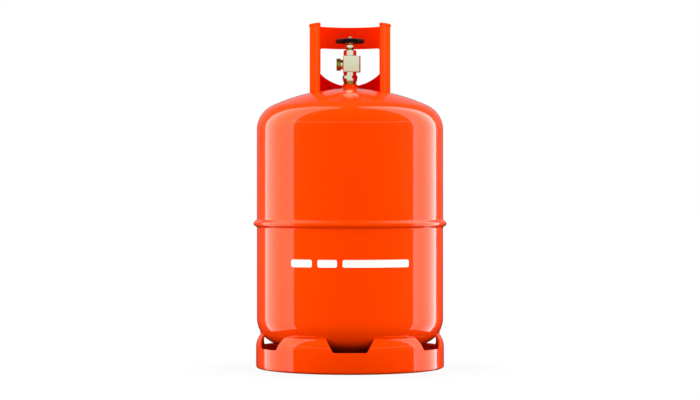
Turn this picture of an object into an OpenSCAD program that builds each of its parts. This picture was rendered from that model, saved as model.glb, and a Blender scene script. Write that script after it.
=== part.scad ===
// 13 kg propane cylinder: two pressed half shells welded round the middle,
// a pressed foot ring, a welded collar with a hand hold, and a brass valve
// with a handwheel, a screw spindle and a spring-loaded relief valve.
// Origin at the centre of the base, +Z up, the collar's opening faces -Y.

/* [Tank] */
// Outside radius of the tank's straight side
tank_r = 157.5; // [155:0.5:160]
// Thickness of the shell's sheet
shell_t = 3; // [2.5:0.1:3.2]
// Height where the straight side begins
side_low_z = 84; // [84:1:86]
// Height where the straight side ends
side_high_z = 402; // [400:1:404]
// Radius of the knuckle between the side and the crown
knuckle_r = 45; // [44:1:47]
// Height of the girth weld
girth_z = 243.5; // [235:0.5:250]
// Width of the weld's bead
bead_w = 10; // [8:0.5:12]
// How far the bead stands proud of the tank
bead_h = 5.8; // [4:0.1:6]

/* [Foot ring] */
// Outside radius of the foot ring
ring_r = 158.8; // [158.5:0.1:159.5]
// Thickness of the ring's sheet
ring_t = 3; // [2.5:0.1:3.2]
// Height of the ring's straight wall
ring_straight_h = 36; // [35:0.5:37]
// Radius of the ring's shoulder
ring_shoulder_r = 32; // [32:0.5:33]
// Width of the flange turned in at the foot
foot_flange_w = 5; // [4:1:12]
// Half the width of a window at its sill
window_sill_x = 27.4; // [20:0.2:30]
// Half the width of a window at the ring's top
window_top_x = 41.3; // [36:0.1:42]

/* [Collar] */
// Outside radius of the collar
collar_r = 68.3; // [66:0.1:70]
// Thickness of the collar's sheet
collar_t = 3; // [2.5:0.1:3.2]
// Height of the collar's top
collar_top_z = 580; // [575:1:585]
// Half angle of the collar's front opening
front_opening_deg = 48.9; // [45:0.1:52]
// Half the width of the hand hold at the back
hand_hold_x = 53.2; // [48:0.2:56]
// Height of the hand hold's top edge
hand_hold_top_z = 542.7; // [535:0.1:545]

/* [Valve] */
// Radius of the boss that the valve screws into
boss_r = 13; // [12.5:0.1:13.5]
// Height of the boss's top
boss_top_z = 478.5; // [478:0.1:479]
// Height of the outlet's axis
outlet_z = 512; // [511.5:0.1:512.5]
// Outside radius of the outlet's thread
outlet_thread_r = 10.9; // [10.5:0.1:11]
// Outside radius of the handwheel
wheel_r = 24.5; // [22:0.1:26]
// Number of openings through the handwheel
wheel_openings = 6; // [4:1:8]
// Number of shallow finger grips round the handwheel
wheel_grips = 12; // [8:1:16]

/* [Hidden] */

FINE = 96;
CROWN_FINE = 960;
EPS = 0.01;
FAR = 400;

// Colours
PAINT = [0.93, 0.24, 0.03];
PALE_BRASS = [0.80, 0.78, 0.66];
BRASS = [0.68, 0.60, 0.34];
BLACK = [0.06, 0.07, 0.07];
STEEL = [0.62, 0.63, 0.64];
NYLON = [0.90, 0.89, 0.84];
NITRILE = [0.08, 0.08, 0.08];

// The tank's ends: a crown as wide as the tank, and a knuckle tangent to both
crown_r = 2 * tank_r;
knuckle_x = tank_r - knuckle_r;
crown_drop = sqrt(pow(crown_r - knuckle_r, 2) - pow(knuckle_x, 2));
crown_z = side_high_z - crown_drop;
tank_top_z = crown_z + crown_r;
tank_mid_z = (side_low_z + side_high_z) / 2;

// The girth joint: the lower shell's lip is set in, under the upper shell
root_gap = 4;
lip_rise = 12;
lip_drop = 8;

// The foot ring
ring_shoulder_x = ring_r - ring_shoulder_r;
window_count = 6;
window_corner_r = 4;
window_sill_z = ring_straight_h - 0.6;
window_top_z = 61;
foot_corner_r = 2.5;
ring_weld_r = 2.4;
ring_weld_x = 150.6;
ring_weld_z = 60;
ring_weld_deg = 20;

// The collar
rim_r = 2.2;
rim_x = collar_r + 1.4 - rim_r;
hand_hold_corner_r = 7;
hand_hold_arc_r = 73.5;
hand_hold_arc_z = 552.3;
collar_weld_w = 3.5;
collar_weld_deg = 22;
collar_weld_at = [-112, -68, 68, 112];

// Heights up the valve
stem_z = 462;
pilot_z = 456;
shoulder_z = 478.8;
thread_top_z = 483.5;
body_hex_z = 487.4;
body_neck_z = 493.5;
block_z = 499.5;
block_top_z = 526.5;
bonnet_hex_top_z = 536.5;
bonnet_neck_top_z = 543;
gland_z = 540;
gland_top_z = 545.2;
rim_low_z = 548.3;
rim_high_z = 555;
wheel_top_z = 558;

// Sections of the valve
stem_r = 9.6;
stem_taper = 1 / 32;
pilot_r = 8.5;
neck_low_r = 11.2;
neck_high_r = 12.6;
body_hex_af = 23;
body_hex_turn = 45;
body_neck_r = 11;
block_left = -11.8;
block_right = 17.8;
block_half_d = 14;
block_chamfer_left = 1;
block_chamfer_right = 2.4;
inlet_r = 2.5;
seat_z = 510;
chamber_z = 509;
chamber_r = 6;
seat_r = 3.6;
spigot_r = 8.5;
spigot_z = 519.5;
gasket_z = 519;
outlet_neck_r = 8.15;
outlet_neck_l = 3.7;
outlet_end_x = -22.9;
outlet_chamfer = 0.8;
outlet_bore_r = 3;
outlet_mouth_r = 6.5;
outlet_mouth_l = 4;

// Bonnet, gland and packing
bonnet_hex_af = 19;
bonnet_neck_r = 6.5;
bonnet_bore_r = 6.2;
bonnet_step_z = 529.5;
packing_z = 533;
packing_r = 5.2;
packing_ring_h = 2.5;
packing_ring_count = 3;
gland_hex_af = 17;
gland_spigot_r = 5.15;
gland_spigot_z = packing_z + packing_ring_count * packing_ring_h;

// Spindles
spindle_r = 4;
spindle_fit = 0.05;
flange_r = 6;
flange_z = 527.2;
washer_z = 529;
tang_af = 4.4;
tang_z = 517.5;
wheel_square = 5;
wheel_stud_r = 2.1;
spindle_collar_low_z = 545.6;
spindle_collar_low_r = 7.4;
spindle_collar_r = 8.6;
spindle_collar_z = 548.9;
spindle_square_z = 555.4;
spindle_end_z = 560;
lower_spindle_z = 510.8;
lower_thread_z = 513;
lower_spindle_top_z = 521;
lower_spindle_r = 5;
lower_thread_r = 5.9;
socket_z = 513.5;
socket_af = 4.7;
disc_r = 3.4;
disc_top_z = 511.8;

// Handwheel
wheel_hub_r = 7;
wheel_rim_w = 5.2;
wheel_rim_chamfer = 1.4;
wheel_grip_r = 5;
wheel_grip_depth = 0.8;
wheel_web_z = 550.4;
wheel_web_t = 2.2;
wheel_opening_x = 13.2;
wheel_opening_r = 3.4;
wheel_washer_t = 0.8;
wheel_washer_r = 4;
wheel_nut_af = 7;
wheel_nut_h = 2.6;

// Relief valve, upright in the block's right side
relief_x = 13.9;
relief_r = 2.9;
relief_z = 508;
relief_seat_bore_r = 1.3;
cross_hole_z = 503;
cross_hole_r = 1.25;
cross_plug_r = 1.8;
cross_plug_l = 4;
poppet_r = 2.85;
poppet_z = 508.6;
poppet_top_z = 511.6;
poppet_seal_z = 509;
poppet_stem_r = 1.2;
poppet_stem_top_z = 514;
seal_r = 2.2;
spring_top_z = 521.5;
spring_coil_r = 2;
spring_wire_r = 0.4;
spring_turns = 6;
spring_steps = 16;
plug_top_z = 525.8;
plug_vent_r = 0.9;
plug_key_af = 2.5;
plug_key_z = 523.6;

// Corner-to-corner radius of a hexagon of a given width across flats
function hex_r(af) = af / 2 / cos(30);

// ---- shared sections and shapes ----

// Half section of the solid tank, drawn a distance inside its outer surface
module tank_section(inset = 0) {
    for (up = [0, 1])
        translate([0, 2 * tank_mid_z * (1 - up)])
        mirror([0, 1 - up])
        union() {
            translate([0, tank_mid_z]) square([tank_r - inset, side_high_z - tank_mid_z]);
            translate([knuckle_x, side_high_z])
                intersection() {
                    circle(knuckle_r - inset, $fn = 2 * FINE);
                    translate([0, -EPS]) square(FAR);
                }
            intersection() {
                translate([0, crown_z]) circle(crown_r - inset, $fn = CROWN_FINE);
                polygon([
                    [0, crown_z], [knuckle_x, side_high_z],
                    [knuckle_x * 2, side_high_z + crown_drop], [0, side_high_z + crown_drop]
                ]);
            }
        }
}

module tank_solid() {
    rotate_extrude($fn = FINE) tank_section();
}

// Tube between two heights
module ring(r_out, r_in, z_low, z_high) {
    translate([0, 0, z_low])
        difference() {
            cylinder(h = z_high - z_low, r = r_out, $fn = FINE);
            translate([0, 0, -EPS]) cylinder(h = z_high - z_low + 2 * EPS, r = r_in, $fn = FINE);
        }
}

// Hole or rod between two heights
module rod(r, z_low, z_high) {
    translate([0, 0, z_low]) cylinder(h = z_high - z_low, r = r, $fn = FINE);
}

module hexagon(af, z_low, z_high) {
    translate([0, 0, z_low]) cylinder(h = z_high - z_low, r = hex_r(af), $fn = 6);
}

module square_bar(width, z_low, z_high) {
    translate([-width / 2, -width / 2, z_low]) cube([width, width, z_high - z_low]);
}

// ---- tank ----

// One end of the tank as an open shell
module shell_section() {
    difference() {
        tank_section();
        tank_section(shell_t);
    }
}

module upper_shell() {
    color(PAINT)
        rotate_extrude($fn = FINE)
            intersection() {
                shell_section();
                translate([boss_r, girth_z + root_gap / 2]) square(FAR);
            }
}

module lower_shell() {
    color(PAINT)
        rotate_extrude($fn = FINE)
            union() {
                intersection() {
                    shell_section();
                    square([FAR, girth_z - root_gap / 2]);
                }
                translate([tank_r - 2 * shell_t, girth_z - lip_drop])
                    square([shell_t, lip_drop + lip_rise]);
            }
}

// Fills the gap between the shells and stands proud as a rounded bead
module girth_weld() {
    bead_arc_r = (pow(bead_w / 2, 2) + pow(bead_h, 2)) / (2 * bead_h);
    color(PAINT)
        rotate_extrude($fn = FINE)
            union() {
                translate([tank_r - shell_t, girth_z - root_gap / 2]) square([shell_t, root_gap]);
                intersection() {
                    translate([tank_r + bead_h - bead_arc_r, girth_z]) circle(bead_arc_r, $fn = FINE);
                    translate([tank_r, girth_z - bead_w]) square(2 * bead_w);
                }
            }
}

// ---- foot ring ----

// Outline of the ring's outside, drawn a distance inside it
module foot_ring_outline(inset = 0) {
    square([ring_r - inset, ring_straight_h]);
    translate([ring_shoulder_x, ring_straight_h])
        intersection() {
            circle(ring_shoulder_r - inset, $fn = FINE);
            translate([0, -EPS]) square(ring_shoulder_r);
        }
}

module foot_ring_section() {
    difference() {
        foot_ring_outline();
        difference() {
            translate([0, -EPS]) foot_ring_outline(ring_t);
            translate([ring_r - ring_t - foot_flange_w, -1]) square([foot_flange_w + 1, ring_t + 1]);
        }
        translate([0, -EPS]) square([ring_r - ring_t - foot_flange_w, ring_straight_h]);
        translate([0, ring_straight_h - EPS]) square([ring_shoulder_x, FAR]);
        // rounded outer corner at the foot
        difference() {
            translate([ring_r - foot_corner_r, -1]) square([foot_corner_r + 1, foot_corner_r + 1]);
            translate([ring_r - foot_corner_r, foot_corner_r]) circle(foot_corner_r, $fn = FINE);
        }
        tank_section();
    }
}

// Window through the ring: wider at its top, with rounded corners at the sill
module window_cutter() {
    lean = (window_top_x - window_sill_x) / (window_top_z - window_sill_z);
    lean_deg = atan(lean);
    corner_x = window_sill_x + window_corner_r * (lean - 1 / cos(lean_deg));
    side_x = corner_x + window_corner_r * cos(lean_deg);
    side_z = window_sill_z + window_corner_r * (1 - sin(lean_deg));
    linear_extrude(ring_shoulder_r * 2)
        polygon([
            [-corner_x, window_sill_z], [corner_x, window_sill_z], [side_x, side_z],
            [window_top_x, window_top_z], [-window_top_x, window_top_z], [-side_x, side_z]
        ]);
    for (side = [-1, 1])
        translate([side * corner_x, window_sill_z + window_corner_r])
            cylinder(h = ring_shoulder_r * 2, r = window_corner_r, $fn = FINE);
}

module foot_ring() {
    color(PAINT)
        difference() {
            rotate_extrude($fn = FINE) foot_ring_section();
            for (i = [0 : window_count - 1])
                rotate([0, 0, i * 360 / window_count])
                    translate([0, -ring_shoulder_x, 0])
                        rotate([90, 0, 0]) window_cutter();
        }
}

// A short run of weld on each of the six legs left between the windows
module foot_ring_welds() {
    color(PAINT)
        for (i = [0 : window_count - 1])
            rotate([0, 0, (i + 0.5) * 360 / window_count - 90 - ring_weld_deg / 2])
                rotate_extrude(angle = ring_weld_deg, $fn = FINE)
                    difference() {
                        translate([ring_weld_x, ring_weld_z]) circle(ring_weld_r, $fn = FINE);
                        tank_section();
                        foot_ring_outline();
                    }
}

// ---- collar ----

module hand_hold_outline() {
    corner_x = hand_hold_x - hand_hold_corner_r;
    corner_z = hand_hold_top_z - hand_hold_corner_r;
    intersection() {
        translate([0, hand_hold_arc_z]) circle(hand_hold_arc_r, $fn = FINE);
        union() {
            translate([-hand_hold_x, tank_top_z - FAR]) square([2 * hand_hold_x, corner_z - tank_top_z + FAR]);
            translate([-corner_x, corner_z - 1]) square([2 * corner_x, hand_hold_corner_r + 1]);
            for (side = [-1, 1])
                translate([side * corner_x, corner_z]) circle(hand_hold_corner_r, $fn = FINE);
        }
    }
}

module collar() {
    sweep = 360 - 2 * front_opening_deg;
    color(PAINT)
        difference() {
            rotate([0, 0, front_opening_deg - 90])
                rotate_extrude(angle = sweep, $fn = FINE)
                    difference() {
                        union() {
                            translate([collar_r - collar_t, crown_z])
                                square([collar_t, collar_top_z - rim_r - crown_z]);
                            translate([rim_x, collar_top_z - rim_r]) circle(rim_r, $fn = FINE);
                        }
                        tank_section();
                        square([FAR, tank_mid_z]);
                    }
            rotate([90, 0, 180])
                linear_extrude(2 * collar_r) hand_hold_outline();
        }
}

// Short fillet welds inside the collar's foot
module collar_welds() {
    inner_r = collar_r - collar_t;
    foot_z = crown_z + sqrt(pow(crown_r, 2) - pow(inner_r, 2));
    color(PAINT)
        for (at = collar_weld_at)
            rotate([0, 0, at + 90 - collar_weld_deg / 2])
                rotate_extrude(angle = collar_weld_deg, $fn = FINE)
                    difference() {
                        polygon([
                            [inner_r - collar_weld_w, foot_z - 1], [inner_r, foot_z - 1],
                            [inner_r, foot_z + collar_weld_w], [inner_r - collar_weld_w, foot_z + 0.8]
                        ]);
                        tank_section();
                    }
}

// ---- valve boss ----

function stem_radius(z) = stem_r - (boss_top_z - z) * stem_taper;

module valve_boss() {
    color(PAINT)
        rotate_extrude($fn = FINE)
            polygon([
                [stem_radius(stem_z), stem_z], [boss_r, stem_z], [boss_r, boss_top_z - 0.8],
                [boss_r - 0.8, boss_top_z], [stem_radius(boss_top_z), boss_top_z]
            ]);
}

module boss_weld() {
    color(PAINT)
        rotate_extrude($fn = FINE)
            difference() {
                polygon([
                    [boss_r, tank_top_z - 2], [boss_r + 4, tank_top_z - 2],
                    [boss_r + 4, tank_top_z - 0.2], [boss_r + 2.6, tank_top_z + 0.7],
                    [boss_r, tank_top_z + 3.2]
                ]);
                tank_section();
            }
}

// ---- valve body ----

module block() {
    l = block_chamfer_left;
    r = block_chamfer_right;
    d = block_half_d;
    translate([0, 0, block_z])
        linear_extrude(block_top_z - block_z)
            polygon([
                [block_left + l, -d], [block_right - r, -d], [block_right, r - d], [block_right, d - r],
                [block_right - r, d], [block_left + l, d], [block_left, d - l], [block_left, l - d]
            ]);
}

// The outlet spigot, turned to point along -X
module outlet() {
    neck_end_x = -block_left + outlet_neck_l;
    end_x = -outlet_end_x;
    translate([0, 0, outlet_z])
        rotate([0, -90, 0])
            rotate_extrude($fn = FINE)
                polygon([
                    [0, -block_left - 1], [outlet_neck_r, -block_left - 1], [outlet_neck_r, neck_end_x],
                    [outlet_thread_r - outlet_chamfer, neck_end_x],
                    [outlet_thread_r, neck_end_x + outlet_chamfer],
                    [outlet_thread_r, end_x - outlet_chamfer],
                    [outlet_thread_r - outlet_chamfer, end_x], [0, end_x]
                ]);
}

// Passages: inlet, seat, outlet, and the relief valve's pocket and feed
module valve_passages() {
    rod(inlet_r, pilot_z - 1, seat_z + 1);
    ring(chamber_r, seat_r, chamber_z, seat_z + EPS);
    rod(chamber_r, seat_z, spigot_z + 1);
    rod(spigot_r, gasket_z, block_top_z + 1);
    translate([0, 0, outlet_z])
        rotate([0, -90, 0]) {
            rod(outlet_bore_r, chamber_r - 1.5, -outlet_end_x + 1);
            rod(outlet_mouth_r, -outlet_end_x - outlet_mouth_l, -outlet_end_x + 1);
        }
    translate([relief_x, 0, 0]) {
        rod(relief_r, relief_z, block_top_z + 1);
        rod(relief_seat_bore_r, cross_hole_z, relief_z + 1);
    }
    translate([0, 0, cross_hole_z])
        rotate([0, 90, 0]) {
            rod(cross_hole_r, 0, block_right - cross_plug_l + EPS);
            rod(cross_plug_r, block_right - cross_plug_l, block_right + 1);
        }
}

module valve_body() {
    color(PALE_BRASS)
        difference() {
            union() {
                rotate_extrude($fn = FINE)
                    polygon([
                        [0, pilot_z], [pilot_r - 0.8, pilot_z], [pilot_r, pilot_z + 0.8], [pilot_r, stem_z],
                        [stem_radius(stem_z), stem_z], [stem_radius(shoulder_z), shoulder_z],
                        [neck_low_r, shoulder_z], [neck_low_r, thread_top_z],
                        [neck_high_r, body_hex_z], [neck_high_r, body_hex_z + 1], [0, body_hex_z + 1]
                    ]);
                rotate([0, 0, body_hex_turn]) hexagon(body_hex_af, body_hex_z, body_neck_z);
                rod(body_neck_r, body_neck_z - 1, block_z + 1);
                block();
                outlet();
            }
            valve_passages();
        }
}

// ---- relief valve ----

module relief_poppet() {
    color(BRASS)
        translate([relief_x, 0, 0])
            difference() {
                union() {
                    rod(poppet_r, poppet_z, poppet_top_z);
                    rod(poppet_stem_r, poppet_top_z - 1, poppet_stem_top_z);
                }
                rod(seal_r, poppet_z - 1, poppet_seal_z);
                // three flats let the gas past
                for (i = [0 : 2])
                    rotate([0, 0, i * 120 + 60])
                        translate([seal_r + 0.25, -poppet_r, poppet_z - 1])
                            cube([poppet_r, 2 * poppet_r, poppet_top_z - poppet_z + 2]);
            }
}

module relief_seal() {
    color(NITRILE) translate([relief_x, 0, 0]) rod(seal_r, relief_z, poppet_seal_z);
}

// Wire centre line of the relief spring, with a closed turn at each end
function coil_height(turn) =
    turn < 1 ? 2 * spring_wire_r * turn
    : turn > spring_turns - 1
        ? spring_top_z - poppet_top_z - 2 * spring_wire_r * (spring_turns - turn + 1)
    : 2 * spring_wire_r + (turn - 1) / (spring_turns - 2)
        * (spring_top_z - poppet_top_z - 6 * spring_wire_r);

module relief_spring() {
    sides = 8;
    rings = spring_turns * spring_steps;
    points = [
        for (i = [0 : rings])
            let (turn = i / spring_steps, a = 360 * turn)
            let (z = poppet_top_z + spring_wire_r + coil_height(turn))
            for (j = [0 : sides - 1])
                let (b = 360 * j / sides)
                let (r = spring_coil_r + spring_wire_r * cos(b))
                [relief_x + r * cos(a), r * sin(a), z + spring_wire_r * sin(b)]
    ];
    sides_faces = [
        for (i = [0 : rings - 1], j = [0 : sides - 1])
            let (k = (j + 1) % sides)
            [i * sides + j, i * sides + k, (i + 1) * sides + k, (i + 1) * sides + j]
    ];
    end_faces = [
        [for (j = [sides - 1 : -1 : 0]) j],
        [for (j = [0 : sides - 1]) rings * sides + j]
    ];
    color(STEEL) polyhedron(points, concat(sides_faces, end_faces));
}

module relief_plug() {
    color(BRASS)
        translate([relief_x, 0, 0])
            difference() {
                rod(relief_r, spring_top_z, plug_top_z);
                rod(plug_vent_r, spring_top_z - 1, plug_top_z);
                hexagon(plug_key_af, plug_key_z, plug_top_z + 1);
            }
}

module cross_hole_plug() {
    color(STEEL)
        translate([0, 0, cross_hole_z])
            rotate([0, 90, 0]) rod(cross_plug_r, block_right - cross_plug_l, block_right);
}

// ---- bonnet, gland and packing ----

module bonnet() {
    color(PALE_BRASS)
        difference() {
            union() {
                rod(spigot_r, spigot_z, block_top_z);
                hexagon(bonnet_hex_af, block_top_z, bonnet_hex_top_z);
                rod(bonnet_neck_r, bonnet_hex_top_z - 1, bonnet_neck_top_z);
            }
            rod(bonnet_bore_r, spigot_z - 1, bonnet_step_z);
            rod(spindle_r + spindle_fit, bonnet_step_z - 1, bonnet_neck_top_z);
            rod(packing_r, packing_z, bonnet_neck_top_z + 1);
        }
}

module bonnet_gasket() {
    color("sienna") ring(spigot_r, chamber_r + 0.2, gasket_z, spigot_z);
}

module gland_nut() {
    color(PALE_BRASS)
        difference() {
            union() {
                difference() {
                    hexagon(gland_hex_af, gland_z, gland_top_z);
                    rod(bonnet_neck_r, gland_z - 1, bonnet_neck_top_z);
                }
                rod(gland_spigot_r, gland_spigot_z, bonnet_neck_top_z + 1);
            }
            rod(spindle_r + spindle_fit, gland_spigot_z - 1, gland_top_z + 1);
        }
}

module packing_rings() {
    color(NYLON)
        for (i = [0 : packing_ring_count - 1])
            ring(
                packing_r, spindle_r + spindle_fit,
                packing_z + i * packing_ring_h,
                packing_z + (i + 1) * packing_ring_h - 0.05
            );
}

module spindle_washer() {
    color(NYLON) ring(bonnet_bore_r - 0.1, spindle_r + spindle_fit, washer_z, bonnet_step_z);
}

// ---- spindles and handwheel ----

module spindle() {
    color(BRASS)
        union() {
            square_bar(tang_af, tang_z, flange_z + 1);
            rod(flange_r, flange_z, washer_z);
            rod(spindle_r, washer_z - 1, spindle_collar_z);
            rotate_extrude($fn = FINE)
                polygon([
                    [0, spindle_collar_low_z], [spindle_collar_low_r, spindle_collar_low_z],
                    [spindle_collar_r, spindle_collar_z], [0, spindle_collar_z]
                ]);
            square_bar(wheel_square, spindle_collar_z - 1, spindle_square_z);
            rod(wheel_stud_r, spindle_square_z - 1, spindle_end_z);
        }
}

module lower_spindle() {
    color(BRASS)
        difference() {
            union() {
                rod(lower_spindle_r, lower_spindle_z, lower_thread_z + 1);
                rod(lower_thread_r, lower_thread_z, lower_spindle_top_z);
            }
            square_bar(socket_af, socket_z, lower_spindle_top_z + 1);
            rod(disc_r, lower_spindle_z - 1, disc_top_z);
        }
}

module seat_disc() {
    color(NYLON) rod(disc_r, seat_z, disc_top_z);
}

// Half section of the handwheel: hub, web and a rounded rim under a low dome
module handwheel_section() {
    inner_x = wheel_r - wheel_rim_w;
    edge = wheel_rim_chamfer;
    polygon([
        [0, spindle_collar_z], [wheel_hub_r, spindle_collar_z], [wheel_hub_r, wheel_web_z],
        [inner_x, wheel_web_z], [inner_x, rim_low_z + edge], [inner_x + edge, rim_low_z],
        [wheel_r - edge, rim_low_z], [wheel_r, rim_low_z + edge],
        [wheel_r, rim_high_z - edge], [wheel_r - edge, rim_high_z],
        [inner_x + edge, rim_high_z], [inner_x, rim_high_z - edge],
        [inner_x, wheel_web_z + wheel_web_t], [wheel_hub_r + 1, spindle_square_z], [0, spindle_square_z]
    ]);
}

module handwheel() {
    grip_x = wheel_r + wheel_grip_r - wheel_grip_depth;
    color(BLACK)
        difference() {
            rotate_extrude($fn = FINE) handwheel_section();
            square_bar(wheel_square, spindle_collar_z - 1, spindle_square_z + 1);
            for (i = [0 : wheel_openings - 1])
                rotate([0, 0, (i + 0.5) * 360 / wheel_openings])
                    translate([wheel_opening_x, 0, 0]) rod(wheel_opening_r, rim_low_z, wheel_top_z);
            for (i = [0 : wheel_grips - 1])
                rotate([0, 0, (i + 0.5) * 360 / wheel_grips])
                    translate([grip_x, 0, 0]) rod(wheel_grip_r, rim_low_z - 1, rim_high_z + 1);
        }
}

module wheel_washer() {
    color(STEEL) ring(wheel_washer_r, wheel_stud_r, spindle_square_z, spindle_square_z + wheel_washer_t);
}

module wheel_nut() {
    low_z = spindle_square_z + wheel_washer_t;
    color(STEEL)
        difference() {
            hexagon(wheel_nut_af, low_z, low_z + wheel_nut_h);
            rod(wheel_stud_r, low_z - 1, low_z + wheel_nut_h + 1);
        }
}

upper_shell();
lower_shell();
girth_weld();
foot_ring();
foot_ring_welds();
collar();
collar_welds();
valve_boss();
boss_weld();
valve_body();
bonnet();
bonnet_gasket();
gland_nut();
packing_rings();
spindle_washer();
spindle();
lower_spindle();
seat_disc();
handwheel();
wheel_washer();
wheel_nut();
relief_poppet();
relief_seal();
relief_spring();
relief_plug();
cross_hole_plug();
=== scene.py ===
"""Visual model of a 13 kg propane cylinder, dressed around its packed construction model."""

from __future__ import annotations

import logging
import math
from dataclasses import dataclass, field
from enum import Enum
from typing import Any, Callable, ClassVar

import bmesh
import bpy
from mathutils import Matrix, Vector

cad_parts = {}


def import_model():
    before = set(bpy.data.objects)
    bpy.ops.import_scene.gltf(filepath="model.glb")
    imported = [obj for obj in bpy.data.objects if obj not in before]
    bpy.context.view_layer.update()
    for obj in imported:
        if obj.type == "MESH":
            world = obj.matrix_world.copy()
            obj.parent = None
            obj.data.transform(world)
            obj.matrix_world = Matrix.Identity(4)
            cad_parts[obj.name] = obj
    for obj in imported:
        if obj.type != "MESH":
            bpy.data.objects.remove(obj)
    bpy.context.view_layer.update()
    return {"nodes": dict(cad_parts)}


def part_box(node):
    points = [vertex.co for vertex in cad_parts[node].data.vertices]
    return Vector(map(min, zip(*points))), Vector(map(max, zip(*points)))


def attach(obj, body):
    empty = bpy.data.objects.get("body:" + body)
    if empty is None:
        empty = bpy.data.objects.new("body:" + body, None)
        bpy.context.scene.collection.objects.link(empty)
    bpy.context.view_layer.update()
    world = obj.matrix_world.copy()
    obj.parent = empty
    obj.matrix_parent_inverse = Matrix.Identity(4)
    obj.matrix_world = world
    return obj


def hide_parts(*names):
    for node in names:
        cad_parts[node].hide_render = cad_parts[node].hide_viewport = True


log = logging.getLogger("gas_cylinder")

MM = 0.001
TURN = 2 * math.pi
Point = tuple[float, float]
Piece = bpy.types.Object
Tree = bpy.types.NodeTree
Node = bpy.types.Node
Socket = bpy.types.NodeSocket


# ---------------------------------------------------------------------------
# Outlines: half sections in millimetres, as (radius, height) points
# ---------------------------------------------------------------------------


def arc(centre: Point, radius: float, start: float, end: float, steps: int) -> list[Point]:
    """Points along a round stretch of an outline.

    Args:
        centre: centre of the arc.
        radius: its radius.
        start: angle of the first point in degrees, from the outline's radius axis.
        end: angle of the last point in degrees.
        steps: how many chords the arc is drawn with.

    Returns:
        steps + 1 points, both ends included.
    """
    points = []
    for i in range(steps + 1):
        angle = math.radians(start + (end - start) * i / steps)
        points.append((centre[0] + radius * math.cos(angle), centre[1] + radius * math.sin(angle)))
    return points


def run(start: Point, end: Point, steps: int) -> list[Point]:
    """Evenly spaced points along a straight stretch, its last point left out."""
    return [
        (start[0] + (end[0] - start[0]) * i / steps, start[1] + (end[1] - start[1]) * i / steps)
        for i in range(steps)
    ]


# ---------------------------------------------------------------------------
# Bench: modelling steps as done by hand with Blender's operators
# ---------------------------------------------------------------------------


def deselect_all() -> None:
    """Deselect every object."""
    bpy.ops.object.select_all(action="DESELECT")


def activate(piece: Piece) -> None:
    """Select one object alone and make it active."""
    deselect_all()
    piece.select_set(True)
    bpy.context.view_layer.objects.active = piece


def edit(piece: Piece, work: Callable[[], None]) -> None:
    """Run some work on a piece in edit mode, with all of it selected.

    Args:
        piece: the piece to work on.
        work: a function that calls edit-mode operators.
    """
    activate(piece)
    bpy.ops.object.mode_set(mode="EDIT")
    bpy.ops.mesh.select_mode(type="VERT")
    bpy.ops.mesh.select_all(action="SELECT")
    work()
    bpy.ops.object.mode_set(mode="OBJECT")


def settle(piece: Piece) -> None:
    """Put a piece's place into its mesh, so its object sits at the origin."""
    activate(piece)
    bpy.ops.object.transform_apply(location=True, rotation=True, scale=True)


def mend(piece: Piece, gap: float = 1e-6) -> None:
    """Merge doubled vertices and turn every face outwards."""

    def work() -> None:
        """Merge, then turn the faces."""
        bpy.ops.mesh.remove_doubles(threshold=gap)
        bpy.ops.mesh.normals_make_consistent(inside=False)

    edit(piece, work)


def modify(piece: Piece, kind: str, **settings: Any) -> None:
    """Add a modifier with its settings and apply it.

    Args:
        piece: the piece to change.
        kind: the modifier's type.
        settings: the modifier's properties.
    """
    activate(piece)
    modifier = piece.modifiers.new(kind.lower(), kind)
    for key, value in settings.items():
        setattr(modifier, key, value)
    bpy.ops.object.modifier_apply(modifier=modifier.name)


def combine(piece: Piece, tool: Piece, how: str) -> None:
    """Cut, join or intersect a piece with a tool shape, and delete the tool.

    Args:
        piece: the piece that stays.
        tool: the shape it is combined with.
        how: DIFFERENCE, UNION or INTERSECT.
    """
    modify(piece, "BOOLEAN", object=tool, operation=how, solver="EXACT")
    bpy.data.objects.remove(tool)


def round_edges(piece: Piece, width: float, segments: int = 2, angle: float = 30) -> None:
    """Round a piece's sharp edges.

    Args:
        piece: the piece.
        width: how far the rounding reaches from the edge, in millimetres.
        segments: how many facets round it.
        angle: edges sharper than this many degrees are rounded.
    """
    modify(
        piece,
        "BEVEL",
        width=width * MM,
        segments=segments,
        limit_method="ANGLE",
        angle_limit=math.radians(angle),
        use_clamp_overlap=True,
    )


def trace(name: str, outline: list[Point]) -> Piece:
    """Draw a closed half section in the XZ plane by extruding one vertex from point to point.

    Args:
        name: the new piece's name.
        outline: its corners in order, in millimetres.

    Returns:
        A wire that still has to be spun.
    """
    deselect_all()
    first = outline[0]
    bpy.ops.mesh.primitive_plane_add(size=MM, location=(first[0] * MM, 0, first[1] * MM))
    piece = bpy.context.object
    piece.name = name

    def work() -> None:
        """Extrude from corner to corner, and merge the last into the first."""
        bpy.ops.mesh.merge(type="CENTER")
        last = first
        # an outline that starts and ends on the axis is left open there, and its poles close it
        on_axis = outline[0][0] == 0 and outline[-1][0] == 0
        for point in outline[1:] + ([] if on_axis else [first]):
            step = ((point[0] - last[0]) * MM, 0, (point[1] - last[1]) * MM)
            bpy.ops.mesh.extrude_vertices_move(TRANSFORM_OT_translate={"value": step})
            last = point
        bpy.ops.mesh.select_all(action="SELECT")
        bpy.ops.mesh.remove_doubles(threshold=1e-7)

    edit(piece, work)
    settle(piece)
    return piece


def turn(name: str, outline: list[Point], steps: int) -> Piece:
    """Turn a closed half section round the Z axis, as on a lathe.

    Args:
        name: the new piece's name.
        outline: the half section in millimetres.
        steps: how many facets go round.

    Returns:
        The closed, turned piece.
    """
    piece = trace(name, outline)

    def work() -> None:
        """Spin the outline all the way round."""
        bpy.ops.mesh.spin(steps=steps, angle=TURN, center=(0, 0, 0), axis=(0, 0, 1))

    edit(piece, work)
    mend(piece)
    return piece


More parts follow.
